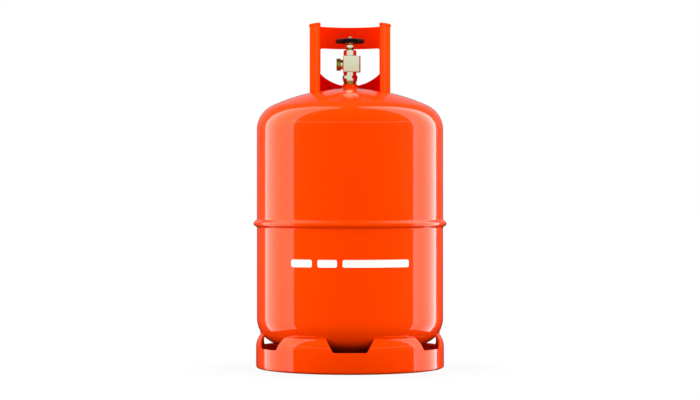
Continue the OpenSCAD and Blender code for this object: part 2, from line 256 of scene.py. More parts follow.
def prism(name: str, outline: list[Point], depth: float) -> Piece:
    """Extrude a flat outline in the XZ plane towards -Y.

    Args:
        name: the new piece's name.
        outline: its corners as (x, z) in order, in millimetres.
        depth: how far it is extruded, in millimetres.

    Returns:
        The closed prism.
    """
    piece = trace(name, outline)

    def work() -> None:
        """Fill the outline and extrude it."""
        bpy.ops.mesh.edge_face_add()
        bpy.ops.mesh.extrude_region_move(TRANSFORM_OT_translate={"value": (0, -depth * MM, 0)})

    edit(piece, work)
    mend(piece)
    return piece


def place(piece: Piece, matrix: Matrix) -> Piece:
    """Move a piece and put its new place into its mesh."""
    piece.matrix_world = matrix
    settle(piece)
    return piece


def join(name: str, pieces: list[Piece]) -> Piece:
    """Join pieces into one object.

    Args:
        name: the joined object's name.
        pieces: the pieces, of which the first takes in the others.

    Returns:
        The joined object.
    """
    activate(pieces[0])
    for piece in pieces:
        piece.select_set(True)
    bpy.ops.object.join()
    pieces[0].name = name
    return pieces[0]


def copy(piece: Piece, name: str, matrix: Matrix) -> Piece:
    """Copy a piece with a mesh of its own.

    Args:
        piece: the piece to copy.
        name: the copy's name.
        matrix: how the copy is moved from the original.

    Returns:
        The copy.
    """
    activate(piece)
    bpy.ops.object.duplicate(linked=False)
    twin = bpy.context.object
    twin.name = name
    return place(twin, matrix)


def about(axis: str, degrees: float) -> Matrix:
    """A turn about one of the frame's axes."""
    return Matrix.Rotation(math.radians(degrees), 4, axis)


def shift(x: float = 0, y: float = 0, z: float = 0) -> Matrix:
    """A move, in millimetres."""
    return Matrix.Translation((x * MM, y * MM, z * MM))


def hexagon(name: str, across: float, low: float, high: float, chamfer: float) -> Piece:
    """A hexagon along Z with the round-cornered chamfers that turning leaves.

    Args:
        name: the new piece's name.
        across: its width across flats, in millimetres.
        low: height of its underside.
        high: height of its top.
        chamfer: how far down the corners the chamfers reach; a negative one leaves the underside square.

    Returns:
        The hexagon, with a corner towards +X.
    """
    corner = across / 2 / math.cos(math.radians(30))
    deselect_all()
    bpy.ops.mesh.primitive_cylinder_add(
        vertices=6, radius=corner * MM, depth=(high - low) * MM, location=(0, 0, (high + low) / 2 * MM)
    )
    piece = bpy.context.object
    piece.name = name
    settle(piece)
    place(piece, about("Z", 30))
    face = across / 2 * 0.97
    reach = corner + 0.5
    rise = abs(chamfer) * (reach - face) / (corner - face)
    bottom = [(0, low - 1), (reach, low - 1)] if chamfer < 0 else [(0, low), (face, low), (reach, low + rise)]
    cone = turn(name + "_chamfer", bottom + [(reach, high - rise), (face, high), (0, high)], 72)
    combine(piece, cone, "INTERSECT")
    return piece


def thread(
    name: str, crest: float, root: float, pitch: float, low: float, high: float, lead: float
) -> Piece:
    """A threaded rod along Z with a chamfer at each end.

    Args:
        name: the new piece's name.
        crest: radius over the thread's crests, in millimetres.
        root: radius at its roots.
        pitch: distance between crests.
        low: height of its lower end.
        high: height of its upper end.
        lead: size of the chamfers.

    Returns:
        The closed rod.
    """
    turns = math.ceil((high - low) / pitch) + 2
    tooth = [(root, 0), (root, 0.12 * pitch), (crest, 0.44 * pitch), (crest, 0.56 * pitch)]
    tooth += [(root, 0.88 * pitch), (root, pitch)]
    piece = trace(name, [(r, low - pitch + z) for r, z in tooth])

    def open_tooth() -> None:
        """Open the tooth's outline at its foot."""
        # the edge that closed the outline goes, so that one turn's end meets the next one's start
        mesh = bmesh.from_edit_mesh(piece.data)
        longest = max(mesh.edges, key=lambda edge: edge.calc_length())
        mesh.edges.remove(longest)
        bmesh.update_edit_mesh(piece.data)

    edit(piece, open_tooth)
    modify(piece, "SCREW", axis="Z", angle=TURN, screw_offset=pitch * MM, iterations=turns, steps=40,
           render_steps=40, use_merge_vertices=True, merge_threshold=1e-6, use_smooth_shade=False)
    for height, side in ((low, "inner"), (high, "outer")):

        def cut(height: float = height, side: str = side) -> None:
            """Cut the rod off level and close its end.

            Args:
                height: where it is cut, in millimetres.
                side: which side of the cut goes: inner is below it, outer above.
            """
            bpy.ops.mesh.remove_doubles(threshold=1e-6)
            bpy.ops.mesh.select_all(action="SELECT")
            bpy.ops.mesh.bisect(
                plane_co=(0, 0, height * MM),
                plane_no=(0, 0, 1),
                use_fill=True,
                clear_inner=side == "inner",
                clear_outer=side == "outer",
            )

        edit(piece, cut)
    mend(piece)
    ends = [(0, low), (crest - lead, low), (crest + 0.1, low + lead + 0.1)]
    ends += [(crest + 0.1, high - lead - 0.1), (crest - lead, high), (0, high)]
    combine(piece, turn(name + "_ends", ends, 72), "INTERSECT")
    return piece


def weld_run(
    name: str, radius: float, height: float, section_r: float, sweep: float, ripples: int
) -> Piece:
    """A run of weld round the Z axis, centred on -Y, rippled and tapered at both ends.

    Args:
        name: the new piece's name.
        radius: distance of the run's centre line from the axis, in millimetres.
        height: height of the centre line.
        section_r: radius of the bead.
        sweep: how far round it runs, in degrees.
        ripples: how many steps it is laid in.

    Returns:
        The closed bead.
    """
    deselect_all()
    bpy.ops.mesh.primitive_circle_add(
        vertices=12, radius=section_r * MM, location=(radius * MM, 0, height * MM),
        rotation=(math.pi / 2, 0, 0),
    )
    piece = bpy.context.object
    piece.name = name
    settle(piece)

    def work() -> None:
        """Spin the run, close its ends and shape its ripples."""
        # a negative angle spins it counter-clockwise
        bpy.ops.mesh.spin(steps=ripples, angle=-math.radians(sweep), center=(0, 0, 0), axis=(0, 0, 1))
        bpy.ops.mesh.select_all(action="SELECT")
        bpy.ops.mesh.fill_holes(sides=0)
        mesh = bmesh.from_edit_mesh(piece.data)
        for i in range(ripples + 1):
            angle = math.radians(sweep) * i / ripples
            centre = Vector((math.cos(angle), math.sin(angle), 0)) * radius * MM + Vector((0, 0, height * MM))
            # tapered at both ends, and every other step a little thinner
            along = 2 * i / ripples - 1
            size = math.sqrt(max(1 - along**6, 0.04)) * (1.0 if i % 2 else 0.93)
            for vertex in mesh.verts:
                near = (vertex.co - centre).length < section_r * MM * 1.05
                level = abs(math.atan2(vertex.co.y, vertex.co.x) - angle) < 1e-4
                vertex.select_set(near and level)
            mesh.select_flush_mode()
            bpy.ops.transform.resize(value=(size, size, size), center_override=centre)
        bpy.ops.mesh.select_all(action="SELECT")
        bpy.ops.mesh.normals_make_consistent(inside=False)

    edit(piece, work)
    return place(piece, about("Z", -90 - sweep / 2))


def drill(piece: Piece, tool: Piece) -> None:
    """Cut a tool shape out of a piece, and keep the tool for the next piece."""
    combine(piece, copy(tool, tool.name + "_tool", Matrix.Identity(4)), "DIFFERENCE")


def copies_round(first: Piece, count: int) -> list[Piece]:
    """Copy a piece at even steps round the Z axis.

    Args:
        first: the piece to copy.
        count: how many stand round the axis, with the first.

    Returns:
        The copies, without the first.
    """
    return [copy(first, f"{first.name}_{i}", about("Z", i * 360 / count)) for i in range(1, count)]


def span(node: str) -> tuple[Vector, Vector]:
    """Lowest and highest corner of a construction node, in millimetres to the nearest tenth."""
    low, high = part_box(node)
    return (
        Vector(round(value / MM, 1) for value in low),
        Vector(round(value / MM, 1) for value in high),
    )


# ---------------------------------------------------------------------------
# Finishes
# ---------------------------------------------------------------------------


def linear(colour: str) -> tuple[float, float, float, float]:
    """Turn an sRGB hex colour into the linear colour that shaders take.

    Args:
        colour: such as "#FF8800".

    Returns:
        Red, green, blue and an alpha of 1.
    """
    channels = []
    for i in (1, 3, 5):
        value = int(colour[i : i + 2], 16) / 255
        channels.append(value / 12.92 if value <= 0.04045 else ((value + 0.055) / 1.055) ** 2.4)
    return (channels[0], channels[1], channels[2], 1.0)


def add_node(tree: Tree, kind: str, settings: dict[str | int, Any] | None = None) -> Node:
    """Add a node to a tree with its settings and links.

    Args:
        tree: the material's or world's node tree.
        kind: the node's type, without its ShaderNode prefix.
        settings: values or sockets to link in, by input name or number, or by the node's own property.

    Returns:
        The new node.
    """
    node = tree.nodes.new("ShaderNode" + kind)
    for key, value in (settings or {}).items():
        if isinstance(value, Socket):
            tree.links.new(value, node.inputs[key])
        elif isinstance(key, int) or key in node.inputs:
            node.inputs[key].default_value = value
        else:
            setattr(node, key, value)
    return node


@dataclass(frozen=True)
class Finish:
    """A surface finish: a name, a colour and the Principled shader's plain numbers."""

    name: str
    colour: str
    roughness: float = 0.5
    metallic: float = 0.0
    grain_mm: float = 1.0
    grain_height_mm: float = 0.005
    shade: float = 0.06
    settings: dict[str, Any] = field(default_factory=dict)
    # one cloud of colour in about 45 mm
    clouds_per_m: ClassVar[float] = 22.0
    cloud_detail: ClassVar[float] = 3.0
    grain_detail: ClassVar[float] = 2.0
    raised: ClassVar[str] = "Normal"

    def make(self) -> bpy.types.Material:
        """Build the material.

        Returns:
            A material with the colour, its slight variation, and a bump of its grain.
        """
        material = bpy.data.materials.new(self.name)
        material.use_nodes = True
        tree = material.node_tree
        shader = tree.nodes["Principled BSDF"]
        shader.inputs["Metallic"].default_value = self.metallic
        shader.inputs["Roughness"].default_value = self.roughness
        for key, value in self.settings.items():
            shader.inputs[key].default_value = value
        self.dress(tree, shader, add_node(tree, "TexCoord").outputs["Object"])
        return material

    def dress(self, tree: Tree, shader: Node, place_on: Socket) -> None:
        """Add this finish's pattern: cloudy colour and a fine grain.

        Args:
            tree: the material's node tree.
            shader: its Principled shader.
            place_on: the piece's own coordinates in metres.
        """
        self.tint(tree, shader, place_on)
        grain = add_node(
            tree, "TexNoise",
            {"Vector": place_on, "Scale": 1 / (self.grain_mm * MM), "Detail": self.grain_detail},
        )
        self.emboss(tree, shader, grain.outputs["Fac"])

    def tint(self, tree: Tree, shader: Node, place_on: Socket) -> None:
        """Vary the colour a little, darker and lighter, in soft clouds.

        Args:
            tree: the material's node tree.
            shader: its Principled shader.
            place_on: the piece's own coordinates in metres.
        """
        cloud = add_node(
            tree, "TexNoise", {"Vector": place_on, "Scale": self.clouds_per_m, "Detail": self.cloud_detail}
        )
        level = add_node(
            tree, "MapRange",
            {"Value": cloud.outputs["Fac"], "From Min": 0.3, "From Max": 0.7, "To Min": 1 - self.shade,
             "To Max": 1.0},
        )
        colour = add_node(
            tree, "VectorMath",
            {"operation": "SCALE", 0: linear(self.colour)[:3], "Scale": level.outputs["Result"]},
        )
        tree.links.new(colour.outputs["Vector"], shader.inputs["Base Color"])

    def emboss(self, tree: Tree, shader: Node, height: Socket) -> None:
        """Raise the surface by a height from 0 to 1, as deep as the finish's grain.

        Args:
            tree: the material's node tree.
            shader: its Principled shader.
            height: the pattern to raise.
        """
        bump = add_node(
            tree, "Bump", {"Strength": 1.0, "Distance": self.grain_height_mm * MM, "Height": height}
        )
        tree.links.new(bump.outputs["Normal"], shader.inputs[self.raised])


@dataclass(frozen=True)
class Enamel(Finish):
    """Sprayed and stoved enamel: broadly cloudy from the spray, with orange peel in the gloss coat alone."""

    # one cloud in about 110 mm
    clouds_per_m: ClassVar[float] = 9.0
    cloud_detail: ClassVar[float] = 2.0
    grain_detail: ClassVar[float] = 1.0
    raised: ClassVar[str] = "Coat Normal"


@dataclass(frozen=True)
class CollarEnamel(Enamel):
    """The enamel on the rolled collar. Inside, the clear coat is left off, so it is dull, and its colour is
    painted darker, darker still lower down: painted shade.
    """

    inside_r_mm: float = 66.8
    # painted shade inside the collar: its colours higher up and lower down, and the heights between which one
    # blends into the other
    inside_painted_shade_colour: str = "#D82400"
    inside_low_painted_shade_colour: str = "#C40200"
    painted_shade_low_mm: float = 485.0
    painted_shade_high_mm: float = 540.0

    def dress(self, tree: Tree, shader: Node, place_on: Socket) -> None:
        """Add the enamel. Nearer the axis than the middle of the sheet, take away its gloss and paint its
        colour darker, more so lower down: painted shade.

        Args:
            tree: the material's node tree.
            shader: its Principled shader.
            place_on: the piece's own coordinates in metres.
        """
        super().dress(tree, shader, place_on)
        level = add_node(tree, "VectorMath", {"operation": "MULTIPLY", 0: place_on, 1: (1, 1, 0)})
        away = add_node(tree, "VectorMath", {"operation": "LENGTH", 0: level.outputs["Vector"]})
        outside = add_node(
            tree, "Math", {"operation": "GREATER_THAN", 0: away.outputs["Value"], 1: self.inside_r_mm * MM}
        )
        split = add_node(tree, "SeparateXYZ", {"Vector": place_on})
        up = add_node(
            tree, "MapRange",
            {"Value": split.outputs["Z"], "From Min": self.painted_shade_low_mm * MM,
             "From Max": self.painted_shade_high_mm * MM},
        )
        # painted shade inside the collar: a darker red, darker still towards the bottom
        inside = add_node(
            tree, "Mix",
            {"data_type": "RGBA", 0: up.outputs["Result"], 6: linear(self.inside_low_painted_shade_colour),
             7: linear(self.inside_painted_shade_colour)},
        )
        enamel = shader.inputs["Base Color"].links[0].from_socket
        # inside the collar the painted shade takes the place of the enamel's colour
        colour = add_node(
            tree, "Mix", {"data_type": "RGBA", 0: outside.outputs[0], 6: inside.outputs[2], 7: enamel}
        )
        gloss = add_node(
            tree, "Math", {"operation": "MULTIPLY", 0: outside.outputs[0], 1: self.settings["Coat Weight"]}
        )
        tree.links.new(colour.outputs[2], shader.inputs["Base Color"])
        tree.links.new(gloss.outputs[0], shader.inputs["Coat Weight"])


@dataclass(frozen=True)
class TurnedMetal(Finish):
    """Metal finished on a lathe: fine tool marks ring the axis, a fraction of a millimetre apart."""

    # one cloud in about 6 mm
    clouds_per_m: ClassVar[float] = 160.0

    def dress(self, tree: Tree, shader: Node, place_on: Socket) -> None:
        """Add the tool marks over a slightly uneven colour.

        Args:
            tree: the material's node tree.
            shader: its Principled shader.
            place_on: the piece's own coordinates in metres.
        """
        self.tint(tree, shader, place_on)
        marks = add_node(
            tree, "TexWave",
            {"wave_type": "BANDS", "bands_direction": "Z", "Vector": place_on,
             "Scale": TURN / (20 * self.grain_mm * MM), "Distortion": 0.6, "Detail": 2.0},
        )
        self.emboss(tree, shader, marks.outputs["Fac"])


class Finishes(Enum):
    """Every finish on the cylinder, by the record's slot name."""

    # Stoved enamel over primed steel: a warm pigment layer, sharp reflections from the clear gloss over it
    PAINT = Enamel(
        "orange_stoved_enamel", "#FF4000", roughness=0.26, grain_mm=3.0, grain_height_mm=0.002, shade=0.03,
        settings={
            "Specular IOR Level": 0.08,
            "Specular Tint": linear("#FFA000"),
            "Coat Weight": 1.0,
            "Coat Roughness": 0.03,
            "Coat IOR": 1.5,
        },
    )
    # The same enamel sprayed over the welded-on collar, where less clear gloss settles: a softer sheen.
    # Inside, its colour is painted darker, more so lower down: painted shade
    COLLAR_PAINT = CollarEnamel(
        "orange_stoved_enamel_soft", "#FF3A00", roughness=0.5, grain_mm=3.0, grain_height_mm=0.004,
        shade=0.03,
        settings={
            "Specular IOR Level": 0.0,
            "Specular Tint": linear("#FF8000"),
            "Coat Weight": 0.06,
            "Coat Roughness": 0.05,
            "Coat IOR": 1.5,
        },
    )
    # Hot-forged brass, blasted and lightly nickel-washed: pale, scatters light like a satin metal
    PALE_BRASS = Finish(
        "blasted_pale_brass", "#CFD5B8", roughness=0.34, metallic=0.85, grain_mm=0.35, grain_height_mm=0.004,
    )
    # The same brass where a cutter has faced it: nearly white, sharp reflections
    CUT_BRASS = TurnedMetal(
        "machined_pale_brass", "#DEDAC0", roughness=0.16, metallic=1.0, grain_mm=0.25, grain_height_mm=0.001,
    )
    # Turned brass left bare: yellow, with tool marks
    BRASS = TurnedMetal(
        "turned_brass", "#B4B04C", roughness=0.3, metallic=1.0, grain_mm=0.25, grain_height_mm=0.002,
    )
    # Enamelled cast iron: near black, a little lumpy under the gloss
    WHEEL_BLACK = Enamel(
        "black_enamelled_iron", "#0A1416", roughness=0.5, grain_mm=1.6, grain_height_mm=0.02, shade=0.3,
        settings={"Specular IOR Level": 0.1, "Coat Weight": 0.4, "Coat Roughness": 0.1, "Coat IOR": 1.5},
    )
    # Bright zinc plate on turned steel
    PLATED_STEEL = TurnedMetal(
        "zinc_plated_steel", "#C8C9C4", roughness=0.3, metallic=1.0, grain_mm=0.2, grain_height_mm=0.003,
    )
    # Drawn spring wire, lightly oiled
    SPRING_STEEL = Finish(
        "spring_wire", "#8E9094", roughness=0.3, metallic=1.0, grain_mm=0.2, grain_height_mm=0.002,
    )
    # Machined nylon: milky, soft sheen
    NYLON = Finish(
        "machined_nylon", "#E8E5D8", roughness=0.45, grain_mm=0.4, grain_height_mm=0.004,
        settings={"Subsurface Weight": 0.2, "Subsurface Scale": 0.002},
    )
    # Moulded nitrile rubber: matt black with a fine grain
    NITRILE = Finish("moulded_nitrile", "#161616", roughness=0.75, grain_mm=0.3, grain_height_mm=0.01)
    # Pressed vulcanised fibre: brown and dull
    FIBRE = Finish("vulcanised_fibre", "#6B3A22", roughness=0.8, grain_mm=0.5, grain_height_mm=0.02)
    # Screen-printed white over the enamel: flat, thick enough to cover
    MARKING = Enamel(
        "white_screen_print", "#FFF6F2", roughness=0.45, grain_mm=1.2, grain_height_mm=0.004, shade=0.03,
        settings={"Specular IOR Level": 0.1, "Coat Weight": 0.3, "Coat Roughness": 0.2},
    )


class Paintshop:
    """Makes each finish once and puts it on pieces."""

    def __init__(self) -> None:
        """Start with no material made."""
        self._made: dict[Finishes, bpy.types.Material] = {}

    def dress(self, piece: Piece, finish: Finishes) -> None:
        """Give a whole piece one finish.

        Args:
            piece: a new piece or a CAD node.
            finish: the finish it gets.
        """
        if finish not in self._made:
            self._made[finish] = finish.value.make()
        if not piece.material_slots:
            piece.data.materials.append(None)
        for slot in piece.material_slots:
            slot.material = self._made[finish]


# ---------------------------------------------------------------------------
# Assemblies
# ---------------------------------------------------------------------------


@dataclass
class Assembly:
    """A group of pieces that are built and finished together. Its sizes are in millimetres."""

    paintshop: Paintshop
    pieces: list[Piece] = field(default_factory=list)
    body: ClassVar[str] = "cylinder"

    def build(self) -> None:
        """Make every piece of this assembly."""
        raise NotImplementedError

    def hand_over(
        self,
        piece: Piece,
        finish: Finishes,
        *nodes: str,
        smooth_deg: float = 32,
        body: str | None = None,
    ) -> None:
        """Finish a piece and give it its place in the frame.

        Args:
            piece: the finished mesh.
            finish: what it is dressed in.
            nodes: the construction nodes that it stands for.
            smooth_deg: edges flatter than this many degrees are shaded smooth.
            body: the body it rides on, where that isn't the assembly's own.
        """
        settle(piece)
        bpy.ops.object.shade_smooth_by_angle(angle=math.radians(smooth_deg))
        self.paintshop.dress(piece, finish)
        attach(piece, body or self.body)
        if nodes:
            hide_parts(*nodes)
        self.pieces.append(piece)
        log.info("%s: %d faces", piece.name, len(piece.data.polygons))


@dataclass
class Tank(Assembly):
    """Two pressed half shells with crowned ends, welded round the middle."""

    sheet: float = 3.0
    knuckle_r: float = 45.0
    root_gap: float = 4.0
    lip_rise: float = 12.0
    bead_r: float = 5.05
    bead_blend_r: float = 3.0
    bead_sunk: float = 0.4
    steps: int = 240

    def __post_init__(self) -> None:
        """Take the tank's size and heights from the frame."""
        low, high = span("lower_shell")
        self.radius: float = high.x
        bead_low, bead_high = span("girth_weld")
        self.bead_z: float = (bead_low.z + bead_high.z) / 2
        self.bead_out: float = bead_high.x
        self.mid_z: float = (low.z + self.crown_top) / 2

    @property
    def crown_r(self) -> float:
        """Radius of the crowned ends, as wide as the tank itself."""
        return 2 * self.radius

    @property
    def boss_r(self) -> float:
        """Radius of the hole that the valve boss stands in."""
        return span("valve_boss")[1].x

    @property
    def crown_top(self) -> float:
        """Height of the top of the tank, worked out from the rim of the boss's hole."""
        sag = self.crown_r - math.sqrt(self.crown_r**2 - self.boss_r**2)
        return span("upper_shell")[1].z + sag

    @property
    def knuckle_x(self) -> float:
        """Distance of the knuckle's centre from the axis."""
        return self.radius - self.knuckle_r

    @property
    def crown_drop(self) -> float:
        """How far the crown's centre lies beyond the knuckle's."""
        return math.sqrt((self.crown_r - self.knuckle_r) ** 2 - self.knuckle_x**2)

    @property
    def side_top(self) -> float:
        """Height where the straight side ends."""
        return self.crown_top - self.crown_r + self.crown_drop

    def height_at(self, radius: float) -> float:
        """Height of the upper crown's outer surface at a distance from the axis."""
        return self.crown_top - self.crown_r + math.sqrt(self.crown_r**2 - radius**2)

    def head(self, inset: float, hole_r: float) -> list[Point]:
        """Outline of the upper end from its hole to the straight side.

        Args:
            inset: how far inside the outer surface it is drawn.
            hole_r: radius where it starts.

        Returns:
            Points from the hole outwards and down.
        """
        tangent = math.degrees(math.atan2(self.crown_drop, self.knuckle_x))
        start = math.degrees(math.acos(hole_r / (self.crown_r - inset)))
        crown = arc((0, self.crown_top - self.crown_r), self.crown_r - inset, start, tangent, 22)
        knuckle = arc((self.knuckle_x, self.side_top), self.knuckle_r - inset, tangent, 0, 20)
        return crown + knuckle[1:]

    def turned_over(self, outline: list[Point]) -> list[Point]:
        """The same outline at the tank's other end."""
        return [(r, 2 * self.mid_z - z) for r, z in outline]

    def build(self) -> None:
        """Make both shells and the girth bead."""
        self.build_upper_shell()
        self.build_lower_shell()
        self.build_bead()

    def build_upper_shell(self) -> None:
        """The upper half, down to the root of the girth weld."""
        edge = self.bead_z + self.root_gap / 2
        inner = self.radius - self.sheet
        outline = self.head(0, self.boss_r)[:-1]
        outline += run((self.radius, self.side_top), (self.radius, edge), 8)
        outline += [(self.radius, edge), (inner, edge)]
        outline += self.head(self.sheet, self.boss_r)[::-1]
        shell = turn("tank_upper_shell", outline, self.steps)
        self.hand_over(shell, Finishes.PAINT, "upper_shell", smooth_deg=40)

    def build_lower_shell(self) -> None:
        """The lower half, with a lip set in behind the upper one."""
        edge = self.bead_z - self.root_gap / 2
        lip = self.bead_z + self.lip_rise
        inner = self.radius - self.sheet
        low = 2 * self.mid_z - self.side_top
        outline = self.turned_over(self.head(0, 0))[:-1]
        outline[0] = (0, outline[0][1])
        outline += run((self.radius, low), (self.radius, edge), 8)
        outline += [(self.radius, edge), (inner, edge), (inner, lip), (inner - self.sheet, lip)]
        outline += [(inner - self.sheet, edge - self.lip_rise), (inner, edge - self.lip_rise - self.sheet)]
        inside = self.turned_over(self.head(self.sheet, 0))[::-1]
        inside[-1] = (0, inside[-1][1])
        shell = turn("tank_lower_shell", outline + inside, self.steps)
        self.hand_over(shell, Finishes.PAINT, "lower_shell", smooth_deg=40)

    def build_bead(self) -> None:
        """The girth weld's bead, blended into the side above and below."""
        centre_r = self.bead_out - self.bead_r
        blend_r = self.radius + self.bead_blend_r
        reach = self.bead_r + self.bead_blend_r
        rise = math.sqrt(reach**2 - (blend_r - centre_r) ** 2)
        meet = math.degrees(math.atan2(rise, blend_r - centre_r))
        half = arc((centre_r, self.bead_z), self.bead_r, 0, meet, 10)
        half += arc((blend_r, self.bead_z + rise), self.bead_blend_r, meet + 180, 180, 6)[1:]
        root = self.radius - self.bead_sunk
        outline = [(r, 2 * self.bead_z - z) for r, z in half[::-1]] + half[1:]
        outline += [(root, outline[-1][1]), (root, outline[0][1])]
        bead = turn("girth_weld_bead", outline, self.steps)
        self.hand_over(bead, Finishes.PAINT, "girth_weld")


@dataclass(kw_only=True)
class FootRing(Assembly):
    """The pressed ring that the tank stands on, with six windows and a flange turned in."""

    tank: Tank
    sheet: float = 3.0
    straight_h: float = 36.0
    shoulder_r: float = 32.0
    shoulder_deg: float = 45.4
    shoulder_inner_deg: float = 44.4
    flange_w: float = 5.0
    flange_bend: float = 1.2
    foot_corner_r: float = 4.0
    windows: int = 6
    sill_z: float = 35.4
    sill_x: float = 27.4
    crest_x: float = 41.3
    crest_z: float = 61.0
    window_corner_r: float = 4.0
    weld_r: float = 1.8
    weld_x: float = 150.4
    weld_z: float = 60.0
    weld_deg: float = 20.0
    steps: int = 288

    def __post_init__(self) -> None:
        """Take the ring's radius from the frame."""
        self.radius: float = span("foot_ring")[1].x

    def build(self) -> None:
        """Make the ring and its welds."""
        self.build_ring()
        self.build_welds()

    def section(self) -> list[Point]:
        """Outline of the ring's sheet, from the flange's inner edge round the outside and back."""
        inner = self.radius - self.sheet
        centre = (self.radius - self.shoulder_r, self.straight_h)
        lip = self.sheet / 2
        flange = inner - self.flange_w
        outline = arc((flange + lip, lip), lip, 180, 270, 4)
        corner = self.foot_corner_r
        outline += arc((self.radius - corner, corner), corner, 270, 360, 5)
        outline += run((self.radius, 6), (self.radius, self.straight_h), 8)
        outline += arc(centre, self.shoulder_r, 0, self.shoulder_deg, 12)
        outline += arc(centre, self.shoulder_r - self.sheet, self.shoulder_inner_deg, 0, 12)
        bend = self.sheet + self.flange_bend
        outline += run((inner, self.straight_h - 4), (inner, bend), 8)
        outline += [(inner, bend), (inner - self.flange_bend, self.sheet)]
        outline += arc((flange + lip, lip), lip, 90, 180, 4)[:-1]
        return outline

    def window(self) -> list[Point]:
        """Outline of one window: wider at its top, with rounded corners at its sill."""
        lean = (self.crest_x - self.sill_x) / (self.crest_z - self.sill_z)
        lean_deg = math.degrees(math.atan(lean))
        corner_r = self.window_corner_r
        inwards = corner_r * (lean - 1 / math.cos(math.radians(lean_deg)))
        centre = (self.sill_x + inwards, self.sill_z + corner_r)
        top = (self.crest_x + 3 * lean, self.crest_z + 3)
        right = arc(centre, corner_r, 270, 360 - lean_deg, 6)
        return right + [top] + [(-x, z) for x, z in ([top] + right[::-1])]

    def build_ring(self) -> None:
        """Turn the ring, cut its windows and dull their edges."""
        ring = turn("foot_ring_pressed", self.section(), self.steps)
        first = place(prism("window_cutter", self.window(), 60), shift(y=-115))
        cutters = [first] + copies_round(first, self.windows)
        combine(ring, join("window_cutters", cutters), "DIFFERENCE")
        round_edges(ring, 0.9, segments=3, angle=42)
        mend(ring)
        self.hand_over(ring, Finishes.PAINT, "foot_ring", smooth_deg=50)

    def build_welds(self) -> None:
        """One run of weld on each leg, modelled once and copied round."""
        first = weld_run("leg_weld", self.weld_x, self.weld_z, self.weld_r, self.weld_deg, 30)
        place(first, about("Z", 180 / self.windows))
        self.hand_over(first, Finishes.PAINT, "foot_ring_welds", smooth_deg=60)
        for twin in copies_round(first, self.windows):
            self.hand_over(twin, Finishes.PAINT, smooth_deg=60)


@dataclass(kw_only=True)
class Collar(Assembly):
    """The rolled collar round the valve, open in front, with a hand hold at the back."""

    tank: Tank
    sheet: float = 3.0
    rim_r: float = 2.2
    rim_proud: float = 1.4
    opening_deg: float = 48.9
    hold_x: float = 53.2
    hold_top: float = 542.7
    hold_corner_r: float = 7.0
    hold_arc_r: float = 73.5
    hold_arc_z: float = 552.3
    foot_sunk: float = 0.6
    weld_r: float = 2.1
    weld_deg: float = 22.0
    weld_at: tuple[float, ...] = (-112, -68, 68, 112)
    steps: int = 240

    def __post_init__(self) -> None:
        """Take the collar's size from the frame."""
        high = span("collar")[1]
        self.radius: float = high.x - self.rim_proud
        self.top: float = high.z

    def build(self) -> None:
        """Make the collar and the welds inside its foot."""
        self.build_collar()
        self.build_welds()

    def section(self) -> list[Point]:
        """Outline of the collar's sheet with its rolled rim, following the crown at its foot."""
        inner = self.radius - self.sheet
        rim = (self.radius + self.rim_proud - self.rim_r, self.top - self.rim_r)
        start = math.degrees(math.asin((self.radius - rim[0]) / self.rim_r)) - 90
        foot_out = self.tank.height_at(self.radius) - self.foot_sunk
        foot_in = self.tank.height_at(inner) - self.foot_sunk
        outline = run((self.radius, foot_out), (self.radius, rim[1] - 3), 14)
        outline += arc(rim, self.rim_r, start, 180, 12)
        outline += run((inner, rim[1] - 3), (inner, foot_in), 14)
        outline.append((inner, foot_in))
        return outline

    def hand_hold(self) -> list[Point]:
        """Outline of the hand hold: straight sides and top, and a foot that follows an arc."""
        corner = (self.hold_x - self.hold_corner_r, self.hold_top - self.hold_corner_r)
        foot = math.degrees(math.acos(self.hold_x / self.hold_arc_r))
        half = arc((0, self.hold_arc_z), self.hold_arc_r, -90, -foot, 16)
        half += arc(corner, self.hold_corner_r, 0, 90, 6)
        return half + [(-x, z) for x, z in half[:0:-1]]

    def build_collar(self) -> None:
        """Turn the collar, cut its opening and hand hold, and dull their edges."""
        collar = turn("collar_rolled", self.section(), self.steps)
        side = 2 * self.radius * math.tan(math.radians(self.opening_deg))
        wedge = prism("opening_cutter", [(0, 0), (side, -2 * self.radius), (-side, -2 * self.radius)], 200)
        place(wedge, shift(z=self.top - 150) @ about("X", -90))
        combine(collar, wedge, "DIFFERENCE")
        hold = place(prism("hold_cutter", self.hand_hold(), 90), about("Z", 180))
        combine(collar, hold, "DIFFERENCE")
        round_edges(collar, 1.3, segments=4, angle=42)
        mend(collar)
        self.hand_over(collar, Finishes.COLLAR_PAINT, "collar", smooth_deg=50)

    def build_welds(self) -> None:
        """Four short fillets inside the collar's foot."""
        radius = self.radius - self.sheet - 1.2
        height = self.tank.height_at(radius) + 0.7
        first = weld_run("collar_weld", radius, height, self.weld_r, self.weld_deg, 22)
        place(first, about("Z", self.weld_at[0] + 180))
        self.hand_over(first, Finishes.PAINT, "collar_welds", smooth_deg=60)
        for i, at in enumerate(self.weld_at[1:], start=1):
            twin = copy(first, f"collar_weld_{i}", about("Z", at - self.weld_at[0]))
            self.hand_over(twin, Finishes.PAINT, smooth_deg=60)


